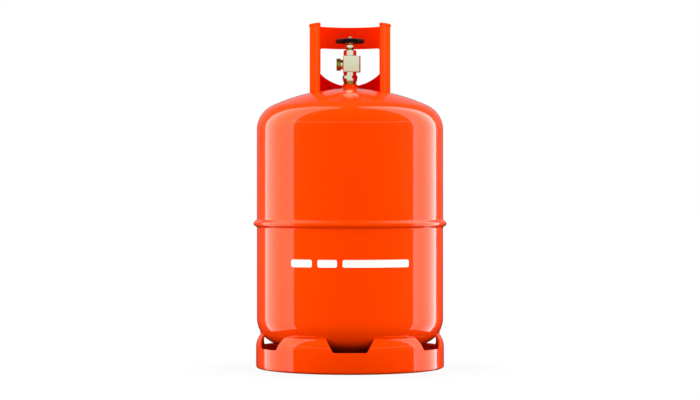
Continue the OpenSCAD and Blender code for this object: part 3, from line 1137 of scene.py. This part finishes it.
@dataclass(kw_only=True)
class Boss(Assembly):
    """The threaded steel boss on the crown, with the fillet weld round it."""

    tank: Tank
    fillet_r: float = 4.0
    edge_r: float = 0.8
    bore_r: float = 9.7
    bore_chamfer: float = 1.2

    def build(self) -> None:
        """Turn the boss and its weld."""
        low, high = span("valve_boss")
        radius = high.x
        outline = [(self.bore_r, low.z), (radius, low.z)]
        outline += run((radius, self.tank.crown_top - 4), (radius, high.z - 2), 3)
        outline += arc((radius - self.edge_r, high.z - self.edge_r), self.edge_r, 0, 90, 4)
        outline += [(self.bore_r + self.bore_chamfer, high.z), (self.bore_r, high.z - self.bore_chamfer)]
        boss = turn("valve_boss_turned", outline, 96)
        self.hand_over(boss, Finishes.PAINT, "valve_boss")
        foot = self.tank.height_at(radius + self.fillet_r)
        centre = (radius + self.fillet_r, foot + self.fillet_r)
        fillet = arc(centre, self.fillet_r, 180, 266, 8)
        outline = [(radius - 0.3, foot - 1), (radius - 0.3, fillet[0][1])] + fillet
        outline += [(fillet[-1][0], foot - 1)]
        weld = turn("boss_fillet_weld", outline, 96)
        self.hand_over(weld, Finishes.PAINT, "boss_weld", smooth_deg=50)


@dataclass
class Valve(Assembly):
    """The brass valve's fixed parts: body with outlet and relief pocket, bonnet and gland nut."""

    neck_r: float = 11.2
    cone_r: float = 12.6
    thread_top: float = 483.5
    hex_low: float = 487.4
    hex_high: float = 493.5
    hex_across: float = 23.0
    hex_turn: float = 45.0
    neck_above_r: float = 11.0
    block_low: float = 499.5
    block_left: float = 11.8
    block_bevel_left: float = 1.0
    block_bevel_right: float = 2.4
    outlet_z: float = 512.0
    outlet_neck_r: float = 8.15
    outlet_neck_l: float = 3.7
    outlet_r: float = 10.9
    outlet_pitch: float = 1.814
    stem_pitch: float = 1.6
    outlet_mouth_r: float = 6.5
    outlet_mouth_l: float = 4.0
    outlet_bore_r: float = 3.0
    bonnet_hex_top: float = 536.5
    bonnet_hex_across: float = 19.0
    bonnet_neck_r: float = 6.5
    spindle_bore_r: float = 4.05
    packing_bore_r: float = 5.2
    packing_depth: float = 10.0
    gland_low: float = 540.0
    gland_across: float = 17.0
    gland_bore_r: float = 4.1
    gland_web: float = 2.2
    relief_x: float = 13.9
    relief_r: float = 2.9
    relief_depth: float = 18.5
    bonnet_bore_r: float = 8.5
    bonnet_bore_depth: float = 7.0
    inlet_r: float = 2.5
    inlet_low: float = 450.0
    inlet_top: float = 505.0

    def build(self) -> None:
        """Make the valve's visible fixed parts."""
        self.build_body()
        self.build_outlet()
        self.build_bonnet()
        self.build_gland_nut()

    def build_body(self) -> None:
        """The forging, in three finishes: the bare stem, the cut hexagon and neck, and the blasted block."""
        low, high = span("valve_body")
        boss_top = span("valve_boss")[1].z
        bores = self.bores(high.z)
        stem = self.build_stem(low.z, boss_top)
        middle = [(0, self.thread_top), (self.neck_r + 0.3, self.thread_top)]
        middle += [(self.cone_r - 0.3, self.hex_low - 0.4), (self.cone_r - 0.3, self.hex_low + 1)]
        middle += [(self.neck_above_r, self.hex_low + 1), (self.neck_above_r, self.block_low - 0.6)]
        middle += [(self.neck_above_r + 0.6, self.block_low), (self.neck_above_r + 0.6, self.block_low + 1)]
        neck = turn("valve_body_neck", middle + [(0, self.block_low + 1)], 96)
        hex_part = hexagon("body_hexagon", self.hex_across, self.hex_low, self.hex_high, 1.0)
        place(hex_part, about("Z", self.hex_turn))
        combine(neck, hex_part, "UNION")
        block = self.block(span("cross_hole_plug")[1].x, high)
        for part, finish, nodes in (
            (stem, Finishes.BRASS, ()),
            (neck, Finishes.CUT_BRASS, ()),
            (block, Finishes.PALE_BRASS, ("valve_body",)),
        ):
            drill(part, bores)
            round_edges(part, 0.35, segments=2, angle=40)
            mend(part)
            self.hand_over(part, finish, *nodes, smooth_deg=35)
        bpy.data.objects.remove(bores)

    def build_stem(self, low: float, boss_top: float) -> Piece:
        """The stem that screws into the boss, and the threads left showing above it.

        Args:
            low: height of the stem's end.
            boss_top: height of the boss's top.

        Returns:
            The stem.
        """
        outline = [(0, low), (7.7, low), (8.5, low + 0.8), (8.5, boss_top - 16)]
        outline += [(9.1, boss_top - 16), (9.6, boss_top + 0.3), (self.neck_r - 1.0, boss_top + 0.3)]
        outline += [(self.neck_r - 1.0, self.thread_top + 0.5), (0, self.thread_top + 0.5)]
        stem = turn("valve_stem", outline, 96)
        screw = thread("valve_stem_thread", self.neck_r, self.neck_r - 0.7, self.stem_pitch,
                       boss_top + 0.3, self.thread_top + 0.6, 0.4)
        combine(stem, screw, "UNION")
        return stem

    def block(self, right: float, high: Vector) -> Piece:
        """The square block that holds the seat and the relief valve.

        Args:
            right: its right face.
            high: highest corner of the valve's body.

        Returns:
            The block with bevelled upright edges.
        """
        left, half = -self.block_left, high.y
        small, large = self.block_bevel_left, self.block_bevel_right
        corners = [(left + small, -half), (right - large, -half), (right, large - half)]
        corners += [(right, half - large), (right - large, half), (left + small, half)]
        corners += [(left, half - small), (left, small - half)]
        block = prism("valve_block", [(x, -y) for x, y in corners], high.z - self.block_low)
        return place(block, shift(z=high.z) @ about("X", 90))

    def bores(self, top: float) -> Piece:
        """The body's open bores: the bonnet's thread, the relief pocket and the stem's inlet.

        Args:
            top: height of the block's top.

        Returns:
            A tool that cuts them all.
        """
        radius, foot = self.bonnet_bore_r, top - self.bonnet_bore_depth
        seat = turn("bonnet_bore", [(0, foot), (radius, foot), (radius, top + 1), (0, top + 1)], 64)
        radius, foot = self.relief_r, top - self.relief_depth
        outline = [(0, foot), (radius, foot), (radius, top - 0.4), (radius + 0.4, top)]
        pocket = turn("relief_bore", outline + [(radius + 0.4, top + 1), (0, top + 1)], 48)
        place(pocket, shift(x=self.relief_x))
        radius, foot, end = self.inlet_r, self.inlet_low, self.inlet_top
        inlet = turn("inlet_bore", [(0, foot), (radius, foot), (radius, end), (0, end)], 48)
        return join("valve_bores", [seat, pocket, inlet])

    def build_outlet(self) -> None:
        """The outlet: a neck, a left-hand thread and its bore, pointing along -X."""
        face = self.block_left
        neck_end = face + self.outlet_neck_l
        end = -span("valve_body")[0].x
        crest, pitch = self.outlet_r, self.outlet_pitch
        rod = thread("valve_outlet", crest, crest - 1.0, pitch, neck_end, end, 0.9)
        # mirrored, which makes the thread left-hand
        place(rod, Matrix.Scale(-1, 4, (1, 0, 0)))
        mend(rod)
        radius = self.outlet_neck_r
        outline = [(0, face - 0.8), (radius + 0.8, face - 0.8), (radius + 0.8, face), (radius, face + 0.8)]
        outline += [(radius, neck_end + 0.3), (0, neck_end + 0.3)]
        neck = turn("valve_outlet_neck", outline, 72)
        radius, mouth_r, mouth = self.outlet_bore_r, self.outlet_mouth_r, end - self.outlet_mouth_l
        outline = [(0, face - 3), (radius, face - 3), (radius, mouth - 1.2), (radius + 1.6, mouth)]
        outline += [(mouth_r, mouth), (mouth_r, end - 0.5), (mouth_r + 0.6, end + 0.1)]
        outline += [(mouth_r + 0.6, end + 1), (0, end + 1)]
        bore = turn("outlet_bore", outline, 72)
        for part, finish in ((neck, Finishes.CUT_BRASS), (rod, Finishes.BRASS)):
            drill(part, bore)
            place(part, shift(z=self.outlet_z) @ about("Y", -90))
            mend(part)
            self.hand_over(part, finish, smooth_deg=28)
        bpy.data.objects.remove(bore)

    def build_bonnet(self) -> None:
        """The bonnet: its hexagon, and the threaded neck under the gland nut."""
        high = span("bonnet")[1]
        block_top = span("valve_body")[1].z
        bonnet = hexagon("bonnet_hexagon", self.bonnet_hex_across, block_top, self.bonnet_hex_top, 1.1)
        neck = thread("bonnet_neck", self.bonnet_neck_r, self.bonnet_neck_r - 0.55, 1.0,
                      self.bonnet_hex_top - 0.5, high.z, 0.5)
        radius, packing_r, step = self.spindle_bore_r, self.packing_bore_r, high.z - self.packing_depth
        outline = [(0, block_top - 1), (radius, block_top - 1), (radius, step), (packing_r, step)]
        bore = turn("bonnet_bore", outline + [(packing_r, high.z + 1), (0, high.z + 1)], 48)
        drill(neck, bore)
        mend(neck)
        self.hand_over(neck, Finishes.BRASS, smooth_deg=30)
        combine(bonnet, bore, "DIFFERENCE")
        round_edges(bonnet, 0.2, segments=2, angle=50)
        mend(bonnet)
        self.hand_over(bonnet, Finishes.CUT_BRASS, "bonnet", smooth_deg=30)

    def build_gland_nut(self) -> None:
        """The gland nut, chamfered above and below."""
        high = span("gland_nut")[1]
        nut = hexagon("gland_nut_hexagon", self.gland_across, self.gland_low, high.z, 0.9)
        radius, foot, step = self.bonnet_neck_r + 0.05, self.gland_low - 1, high.z - self.gland_web
        outline = [(0, foot), (radius, foot), (radius, step), (self.gland_bore_r, step)]
        outline += [(self.gland_bore_r, high.z - 0.4), (self.gland_bore_r + 0.4, high.z)]
        outline += [(self.gland_bore_r + 0.4, high.z + 1), (0, high.z + 1)]
        bore = turn("gland_bore", outline, 48)
        combine(nut, bore, "DIFFERENCE")
        round_edges(nut, 0.25, segments=2, angle=50)
        mend(nut)
        self.hand_over(nut, Finishes.CUT_BRASS, "gland_nut", smooth_deg=30)


@dataclass
class Handwheel(Assembly):
    """The handwheel, its spindle, washer and nut, which turn together."""

    body: ClassVar[str] = "wheel"
    rim_w: float = 5.2
    rim_top: float = 555.0
    rim_edge_r: float = 2.3
    hub_r: float = 7.0
    openings: int = 6
    opening_x: float = 13.2
    opening_r: float = 3.4
    grips: int = 12
    grip_r: float = 5.0
    grip_depth: float = 0.8
    nut_across: float = 7.0
    nut_bore_r: float = 2.12
    wheel_bore_r: float = 2.6
    hub_raised: float = 0.6
    shaft_r: float = 4.0
    shaft_end_r: float = 2.5
    stud_r: float = 2.1
    stud_root_r: float = 1.75
    stud_pitch: float = 0.7

    def build(self) -> None:
        """Make the wheel and what shows of its spindle and nut."""
        self.build_wheel()
        self.build_spindle()
        self.build_nut()

    def brass_pieces(self) -> list[Piece]:
        """The pieces but the black wheel itself."""
        return [piece for piece in self.pieces if not piece.name.startswith("handwheel")]

    def build_wheel(self) -> None:
        """The cast wheel: thick round rim with finger grips, sloping web and openings."""
        low, high = span("handwheel")
        inner, edge = high.x - self.rim_w, self.rim_edge_r
        under, web = low.z + self.hub_raised, low.z + 2.1
        outline = [(self.wheel_bore_r, under), (self.hub_r - 0.8, under), (self.hub_r, under + 0.8)]
        outline += [(self.hub_r + 0.6, web), (inner - 0.4, web + 0.2)]
        outline += arc((inner + edge, low.z + edge), edge, 190, 270, 7)
        outline += arc((high.x - edge, low.z + edge), edge, 270, 360, 7)
        outline += arc((high.x - edge, self.rim_top - edge), edge, 0, 90, 7)
        outline += arc((inner + edge, self.rim_top - edge), edge, 90, 170, 7)
        outline += [(inner - 1.0, web + 2.6), (self.hub_r + 3, high.z - 1.0), (self.hub_r, high.z - 0.1)]
        outline += [(self.wheel_bore_r, high.z)]
        wheel = turn("handwheel_cast", outline, 144)
        for count, radius, out in (
            (self.openings, self.opening_r, self.opening_x),
            (self.grips, self.grip_r, high.x + self.grip_r - self.grip_depth),
        ):
            combine(wheel, self.ring_of_rods(count, radius, out, low.z - 1, high.z + 2), "DIFFERENCE")
        round_edges(wheel, 0.45, segments=3, angle=28)
        mend(wheel)
        self.hand_over(wheel, Finishes.WHEEL_BLACK, "handwheel", smooth_deg=50)

    def ring_of_rods(
        self, count: int, radius: float, out: float, low: float, high: float
    ) -> Piece:
        """A ring of upright rods, which cuts openings and grips.

        Args:
            count: how many stand round the wheel.
            radius: radius of each.
            out: their distance from the axis.
            low: height of their undersides.
            high: height of their tops.

        Returns:
            All the rods as one tool.
        """
        first = turn("wheel_cutter", [(0, low), (radius, low), (radius, high), (0, high)], 48)
        place(first, about("Z", 180 / count) @ shift(x=out))
        return join("wheel_cutters", [first] + copies_round(first, count))

    def build_spindle(self) -> None:
        """The spindle's shaft, its conical shoulder under the wheel and its threaded end."""
        high = span("spindle")[1]
        wheel_low, wheel_high = span("handwheel")
        shoulder, end = wheel_low.z + self.hub_raised, wheel_high.z - 0.2
        outline = [(0, shoulder - 20), (self.shaft_r, shoulder - 20), (self.shaft_r, shoulder - 3.3)]
        outline += [(7.0, shoulder - 3.3), (7.4, shoulder - 2.9), (8.6, shoulder - 0.6), (8.3, shoulder)]
        outline += [(self.shaft_end_r, shoulder), (self.shaft_end_r, end), (0, end)]
        spindle = turn("spindle_turned", outline, 72)
        stud = thread("spindle_stud", self.stud_r, self.stud_root_r, self.stud_pitch,
                      wheel_high.z - 0.5, high.z, 0.4)
        combine(spindle, stud, "UNION")
        mend(spindle)
        self.hand_over(spindle, Finishes.BRASS, "spindle", smooth_deg=30)

    def build_nut(self) -> None:
        """The nut that holds the wheel, and its washer."""
        low, high = span("wheel_nut")
        nut = hexagon("wheel_nut_hexagon", self.nut_across, low.z, high.z, 0.5)
        radius, foot, end = self.nut_bore_r, low.z - 1, high.z + 1
        bore = turn("nut_bore", [(0, foot), (radius, foot), (radius, end), (0, end)], 48)
        combine(nut, bore, "DIFFERENCE")
        round_edges(nut, 0.15, segments=2, angle=50)
        mend(nut)
        self.hand_over(nut, Finishes.PLATED_STEEL, "wheel_nut", smooth_deg=30)
        low, high = span("wheel_washer")
        outline = [(radius, low.z), (high.x - 0.2, low.z), (high.x, low.z + 0.2), (high.x, high.z - 0.2)]
        outline += [(high.x - 0.2, high.z), (radius, high.z)]
        washer = turn("wheel_washer_pressed", outline, 48)
        self.hand_over(washer, Finishes.PLATED_STEEL, "wheel_washer")


@dataclass(kw_only=True)
class Marking(Assembly):
    """A plain printed marking on the front of the tank: three white bars."""

    tank: Tank
    centre_z: float = 180.0
    height: float = 12.5
    corner_r: float = 3.0
    bars: tuple[Point, ...] = ((-96, -62), (-53, -21), (-12, 96))
    print_t: float = 0.12
    steps: int = 240

    def build(self) -> None:
        """Cut the bars out of a thin skin that follows the tank."""
        low, high = self.centre_z - self.height, self.centre_z + self.height
        inner, outer = self.tank.radius - 0.3, self.tank.radius + self.print_t
        skin = turn("marking_bars", [(inner, low), (outer, low), (outer, high), (inner, high)], self.steps)
        cutters = []
        for i, (left, right) in enumerate(self.bars):
            cutter = prism(f"bar_{i}", self.bar(left, right), 100)
            cutters.append(place(cutter, shift(y=-100)))
        combine(skin, join("bars", cutters), "INTERSECT")
        mend(skin)
        self.hand_over(skin, Finishes.MARKING, smooth_deg=30)

    def bar(self, left: float, right: float) -> list[Point]:
        """Outline of one bar with rounded corners.

        Args:
            left: its left end.
            right: its right end.

        Returns:
            Its outline, counter-clockwise.
        """
        low = self.centre_z - self.height / 2 + self.corner_r
        high = self.centre_z + self.height / 2 - self.corner_r
        start, end = left + self.corner_r, right - self.corner_r
        outline = []
        for centre, angle in (((end, low), 270), ((end, high), 0), ((start, high), 90), ((start, low), 180)):
            outline += arc(centre, self.corner_r, angle, angle + 90, 5)
        return outline


# ---------------------------------------------------------------------------
# Studio
# ---------------------------------------------------------------------------


@dataclass(frozen=True)
class Softbox:
    """A flat lamp that faces the object, dimmest and warmest along one line and whiter to both sides."""

    name: str
    azimuth: float
    distance: float
    width: float
    height: float
    least: float
    least_blue: float
    least_at: float = 0.5
    rise: float = 0.0
    rise_blue: float = 0.0

    def build(self, aim_z: float, lit: list[Piece] | None = None) -> None:
        """Hang the lamp.

        Args:
            aim_z: height on the object's axis that it faces, in metres.
            lit: the only pieces that it lights, where it isn't all of them.
        """
        lamp = bpy.data.lights.new(self.name, "AREA")
        lamp.shape = "RECTANGLE"
        lamp.size = self.width
        lamp.size_y = self.height
        # a flat lamp of area A and radiance L gives pi * A * L watts
        lamp.energy = math.pi * self.width * self.height
        lamp.use_nodes = True
        tree = lamp.node_tree
        across = add_node(tree, "NewGeometry").outputs["Parametric"]
        split = add_node(tree, "SeparateXYZ", {"Vector": across})
        away = add_node(tree, "Math", {"operation": "SUBTRACT", 0: split.outputs["X"], 1: self.least_at})
        square = add_node(tree, "Math", {"operation": "MULTIPLY", 0: away.outputs[0], 1: away.outputs[0]})
        level, blue = (
            add_node(tree, "Math", {"operation": "MULTIPLY_ADD", 0: square.outputs[0], 1: rise, 2: least})
            for rise, least in ((self.rise, self.least), (self.rise_blue, self.least_blue))
        )
        colour = add_node(
            tree, "CombineColor",
            {"Red": level.outputs[0], "Green": level.outputs[0], "Blue": blue.outputs[0]},
        )
        tree.links.new(colour.outputs["Color"], tree.nodes["Emission"].inputs["Color"])
        holder = bpy.data.objects.new(self.name, lamp)
        bpy.context.scene.collection.objects.link(holder)
        azimuth = math.radians(self.azimuth)
        outwards = Vector((math.sin(azimuth), -math.cos(azimuth), 0))
        holder.location = Vector((0, 0, aim_z)) + outwards * self.distance
        holder.rotation_euler = outwards.to_track_quat("Z", "Y").to_euler()
        if lit:
            receivers = bpy.data.collections.new(self.name + "_receivers")
            for piece in lit:
                receivers.objects.link(piece)
            holder.light_linking.receiver_collection = receivers


@dataclass
class Studio:
    """Pale floor, white surroundings, soft lamps and the camera. Its sizes are in metres."""

    object_radius: float
    valve: list[Piece]
    camera_distance: float = 3.6
    camera_height: float = 0.291
    lens_mm: float = 109.4
    camera_shift: float = -0.0067
    daylight: float = 0.65
    side_light: float = 2.3
    floor_size: float = 40.0
    shadow_strength: float = 0.1
    floor_glow: float = 1.06
    ceiling_at: float = 0.36
    ceiling_half: float = 0.012
    ceiling_light: float = 2.0

    def build(self) -> None:
        """Set up everything round the object."""
        self.build_camera()
        self.build_world()
        self.build_floor()
        tall, middle = 8.4, 3.9
        for softbox in (
            Softbox("left_softbox", -93, 0.802, 0.79, tall, 1.45, 1.05,
                    least_at=0.6, rise=4.8, rise_blue=6.2),
            Softbox("right_softbox", 100, 0.812, 0.688, tall, 1.55, 1.27,
                    least_at=0.36, rise=7.6, rise_blue=9.5),
        ):
            softbox.build(middle)
        Softbox("valve_card", 0, 1.0, 3.6, 2.0, 1.0, 1.0).build(0.55, self.valve)

    def build_camera(self) -> None:
        """The camera looks level along +Y from in front."""
        camera = bpy.data.cameras.new("camera")
        camera.lens = self.lens_mm
        camera.sensor_width = 36.0
        camera.shift_y = self.camera_shift
        camera.clip_end = 100.0
        holder = bpy.data.objects.new("camera", camera)
        holder.location = (0, -self.camera_distance, self.camera_height)
        holder.rotation_euler = (math.pi / 2, 0, 0)
        bpy.context.scene.collection.objects.link(holder)
        bpy.context.scene.camera = holder

    def build_world(self) -> None:
        """White to the eye, even light on surfaces, and in reflections bright behind and dark in front."""
        world = bpy.data.worlds.new("studio")
        bpy.context.scene.world = world
        world.use_nodes = True
        tree = world.node_tree
        path = add_node(tree, "LightPath")
        direction = add_node(tree, "TexCoord").outputs["Generated"]
        split = add_node(tree, "SeparateXYZ", {"Vector": direction})
        x, y, z = (split.outputs[axis] for axis in "XYZ")
        wall = add_node(tree, "MapRange", {"Value": y, "From Min": 0.65, "From Max": 1.0})
        # the wall behind is brighter higher up
        up = add_node(
            tree, "MapRange",
            {"Value": z, "From Min": -0.09, "From Max": 0.25, "To Min": 0.03, "To Max": 0.38},
        )
        behind = add_node(
            tree, "Math", {"operation": "MULTIPLY", 0: wall.outputs["Result"], 1: up.outputs["Result"]}
        )
        # the lit edge of the studio's ceiling, a thin line at about 20 degrees up
        ceiling = add_node(
            tree, "Math", {"operation": "COMPARE", 0: z, 1: self.ceiling_at, 2: self.ceiling_half}
        )
        front = add_node(tree, "Math", {"operation": "LESS_THAN", 0: y, 1: 0.0})
        line = add_node(tree, "Math", {"operation": "MULTIPLY", 0: ceiling.outputs[0], 1: front.outputs[0]})
        sheen = add_node(
            tree, "Math",
            {"operation": "MULTIPLY_ADD", 0: line.outputs[0], 1: self.ceiling_light, 2: behind.outputs[0]},
        )
        # surfaces take more of their even light from the two sides than from in front
        aside = add_node(tree, "Math", {"operation": "ABSOLUTE", 0: x})
        even = add_node(
            tree, "Math",
            {"operation": "MULTIPLY_ADD", 0: aside.outputs[0], 1: self.side_light, 2: self.daylight},
        )
        glossy = add_node(
            tree, "Mix",
            {"data_type": "FLOAT", 0: path.outputs["Is Glossy Ray"], 2: even.outputs[0], 3: sheen.outputs[0]},
        )
        level = add_node(
            tree, "Mix",
            {"data_type": "FLOAT", 0: path.outputs["Is Camera Ray"], 2: glossy.outputs[0], 3: 1.0},
        )
        background = tree.nodes["Background"]
        background.inputs["Color"].default_value = (1, 1, 1, 1)
        tree.links.new(level.outputs[0], background.inputs["Strength"])

    def build_floor(self) -> None:
        """A pale floor with a faint soft shadow, painted dark under and close to the object as painted shade.
        Reflections see it only under the object.
        """
        deselect_all()
        bpy.ops.mesh.primitive_plane_add(size=self.floor_size, location=(0, 0, 0))
        floor = bpy.context.object
        floor.name = "floor"
        material = bpy.data.materials.new("pale_floor")
        material.use_nodes = True
        tree = material.node_tree
        shader = tree.nodes["Principled BSDF"]
        shader.inputs["Roughness"].default_value = 0.9
        shader.inputs["Specular IOR Level"].default_value = 0.0
        place_on = add_node(tree, "TexCoord").outputs["Object"]
        away = add_node(tree, "VectorMath", {"operation": "LENGTH", 0: place_on}).outputs["Value"]
        # the shadow fades out before the floor's horizon
        radius = self.object_radius
        fade = add_node(
            tree, "MapRange",
            {"Value": away, "From Min": 2 * radius, "From Max": 8 * radius,
             "To Min": 1 - self.shadow_strength, "To Max": 1.0},
        )
        path = add_node(tree, "LightPath")
        seen = add_node(
            tree, "Math",
            {"operation": "MULTIPLY", 0: path.outputs["Is Camera Ray"], 1: fade.outputs["Result"]},
        )
        white = add_node(tree, "Emission", {"Color": (1, 1, 1, 1), "Strength": self.floor_glow})
        pale = add_node(
            tree, "MixShader", {0: seen.outputs[0], 1: shader.outputs[0], 2: white.outputs[0]}
        )
        outside = add_node(tree, "Math", {"operation": "GREATER_THAN", 0: away, 1: radius})
        unseen = add_node(
            tree, "Math",
            {"operation": "MULTIPLY", 0: path.outputs["Is Glossy Ray"], 1: outside.outputs[0]},
        )
        # painted shade: the floor is painted dark under the object and close to it, so that little light
        # comes back up from there
        lit = add_node(tree, "MapRange", {"Value": away, "From Min": radius, "From Max": 1.8 * radius})
        colour = add_node(
            tree, "Mix",
            # painted shade colour near the object, blending out to the floor's own grey
            {"data_type": "RGBA", 0: lit.outputs["Result"], 6: linear("#181818"), 7: linear("#8C8C8C")},
        )
        tree.links.new(colour.outputs[2], shader.inputs["Base Color"])
        clear = add_node(tree, "BsdfTransparent")
        final = add_node(tree, "MixShader", {0: unseen.outputs[0], 1: pale.outputs[0], 2: clear.outputs[0]})
        tree.links.new(final.outputs[0], tree.nodes["Material Output"].inputs["Surface"])
        floor.data.materials.append(material)


INNER_FINISHES: dict[str, Finishes] = {
    "bonnet_gasket": Finishes.FIBRE,
    "packing_rings": Finishes.NYLON,
    "spindle_washer": Finishes.NYLON,
    "lower_spindle": Finishes.BRASS,
    "seat_disc": Finishes.NYLON,
    "relief_poppet": Finishes.BRASS,
    "relief_seal": Finishes.NITRILE,
    "relief_spring": Finishes.SPRING_STEEL,
    "relief_plug": Finishes.BRASS,
    "cross_hole_plug": Finishes.PLATED_STEEL,
}


def main() -> None:
    """Build the cylinder piece by piece, then the studio."""
    logging.basicConfig(level=logging.INFO, format="%(message)s")
    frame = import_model()
    paintshop = Paintshop()
    tank = Tank(paintshop)
    boss = Boss(paintshop, tank=tank)
    fittings = Valve(paintshop)
    handwheel = Handwheel(paintshop)
    ring, collar, marking = (kind(paintshop, tank=tank) for kind in (FootRing, Collar, Marking))
    for assembly in (tank, ring, collar, boss, fittings, handwheel, marking):
        assembly.build()
        log.info("%s done: %d pieces", type(assembly).__name__, len(assembly.pieces))
    for node, finish in INNER_FINISHES.items():
        paintshop.dress(frame["nodes"][node], finish)
    valve = fittings.pieces + handwheel.brass_pieces()
    Studio(tank.radius * MM, valve).build()
    bpy.context.scene.view_settings.view_transform = "Standard"


if __name__ == "__main__":
    main()
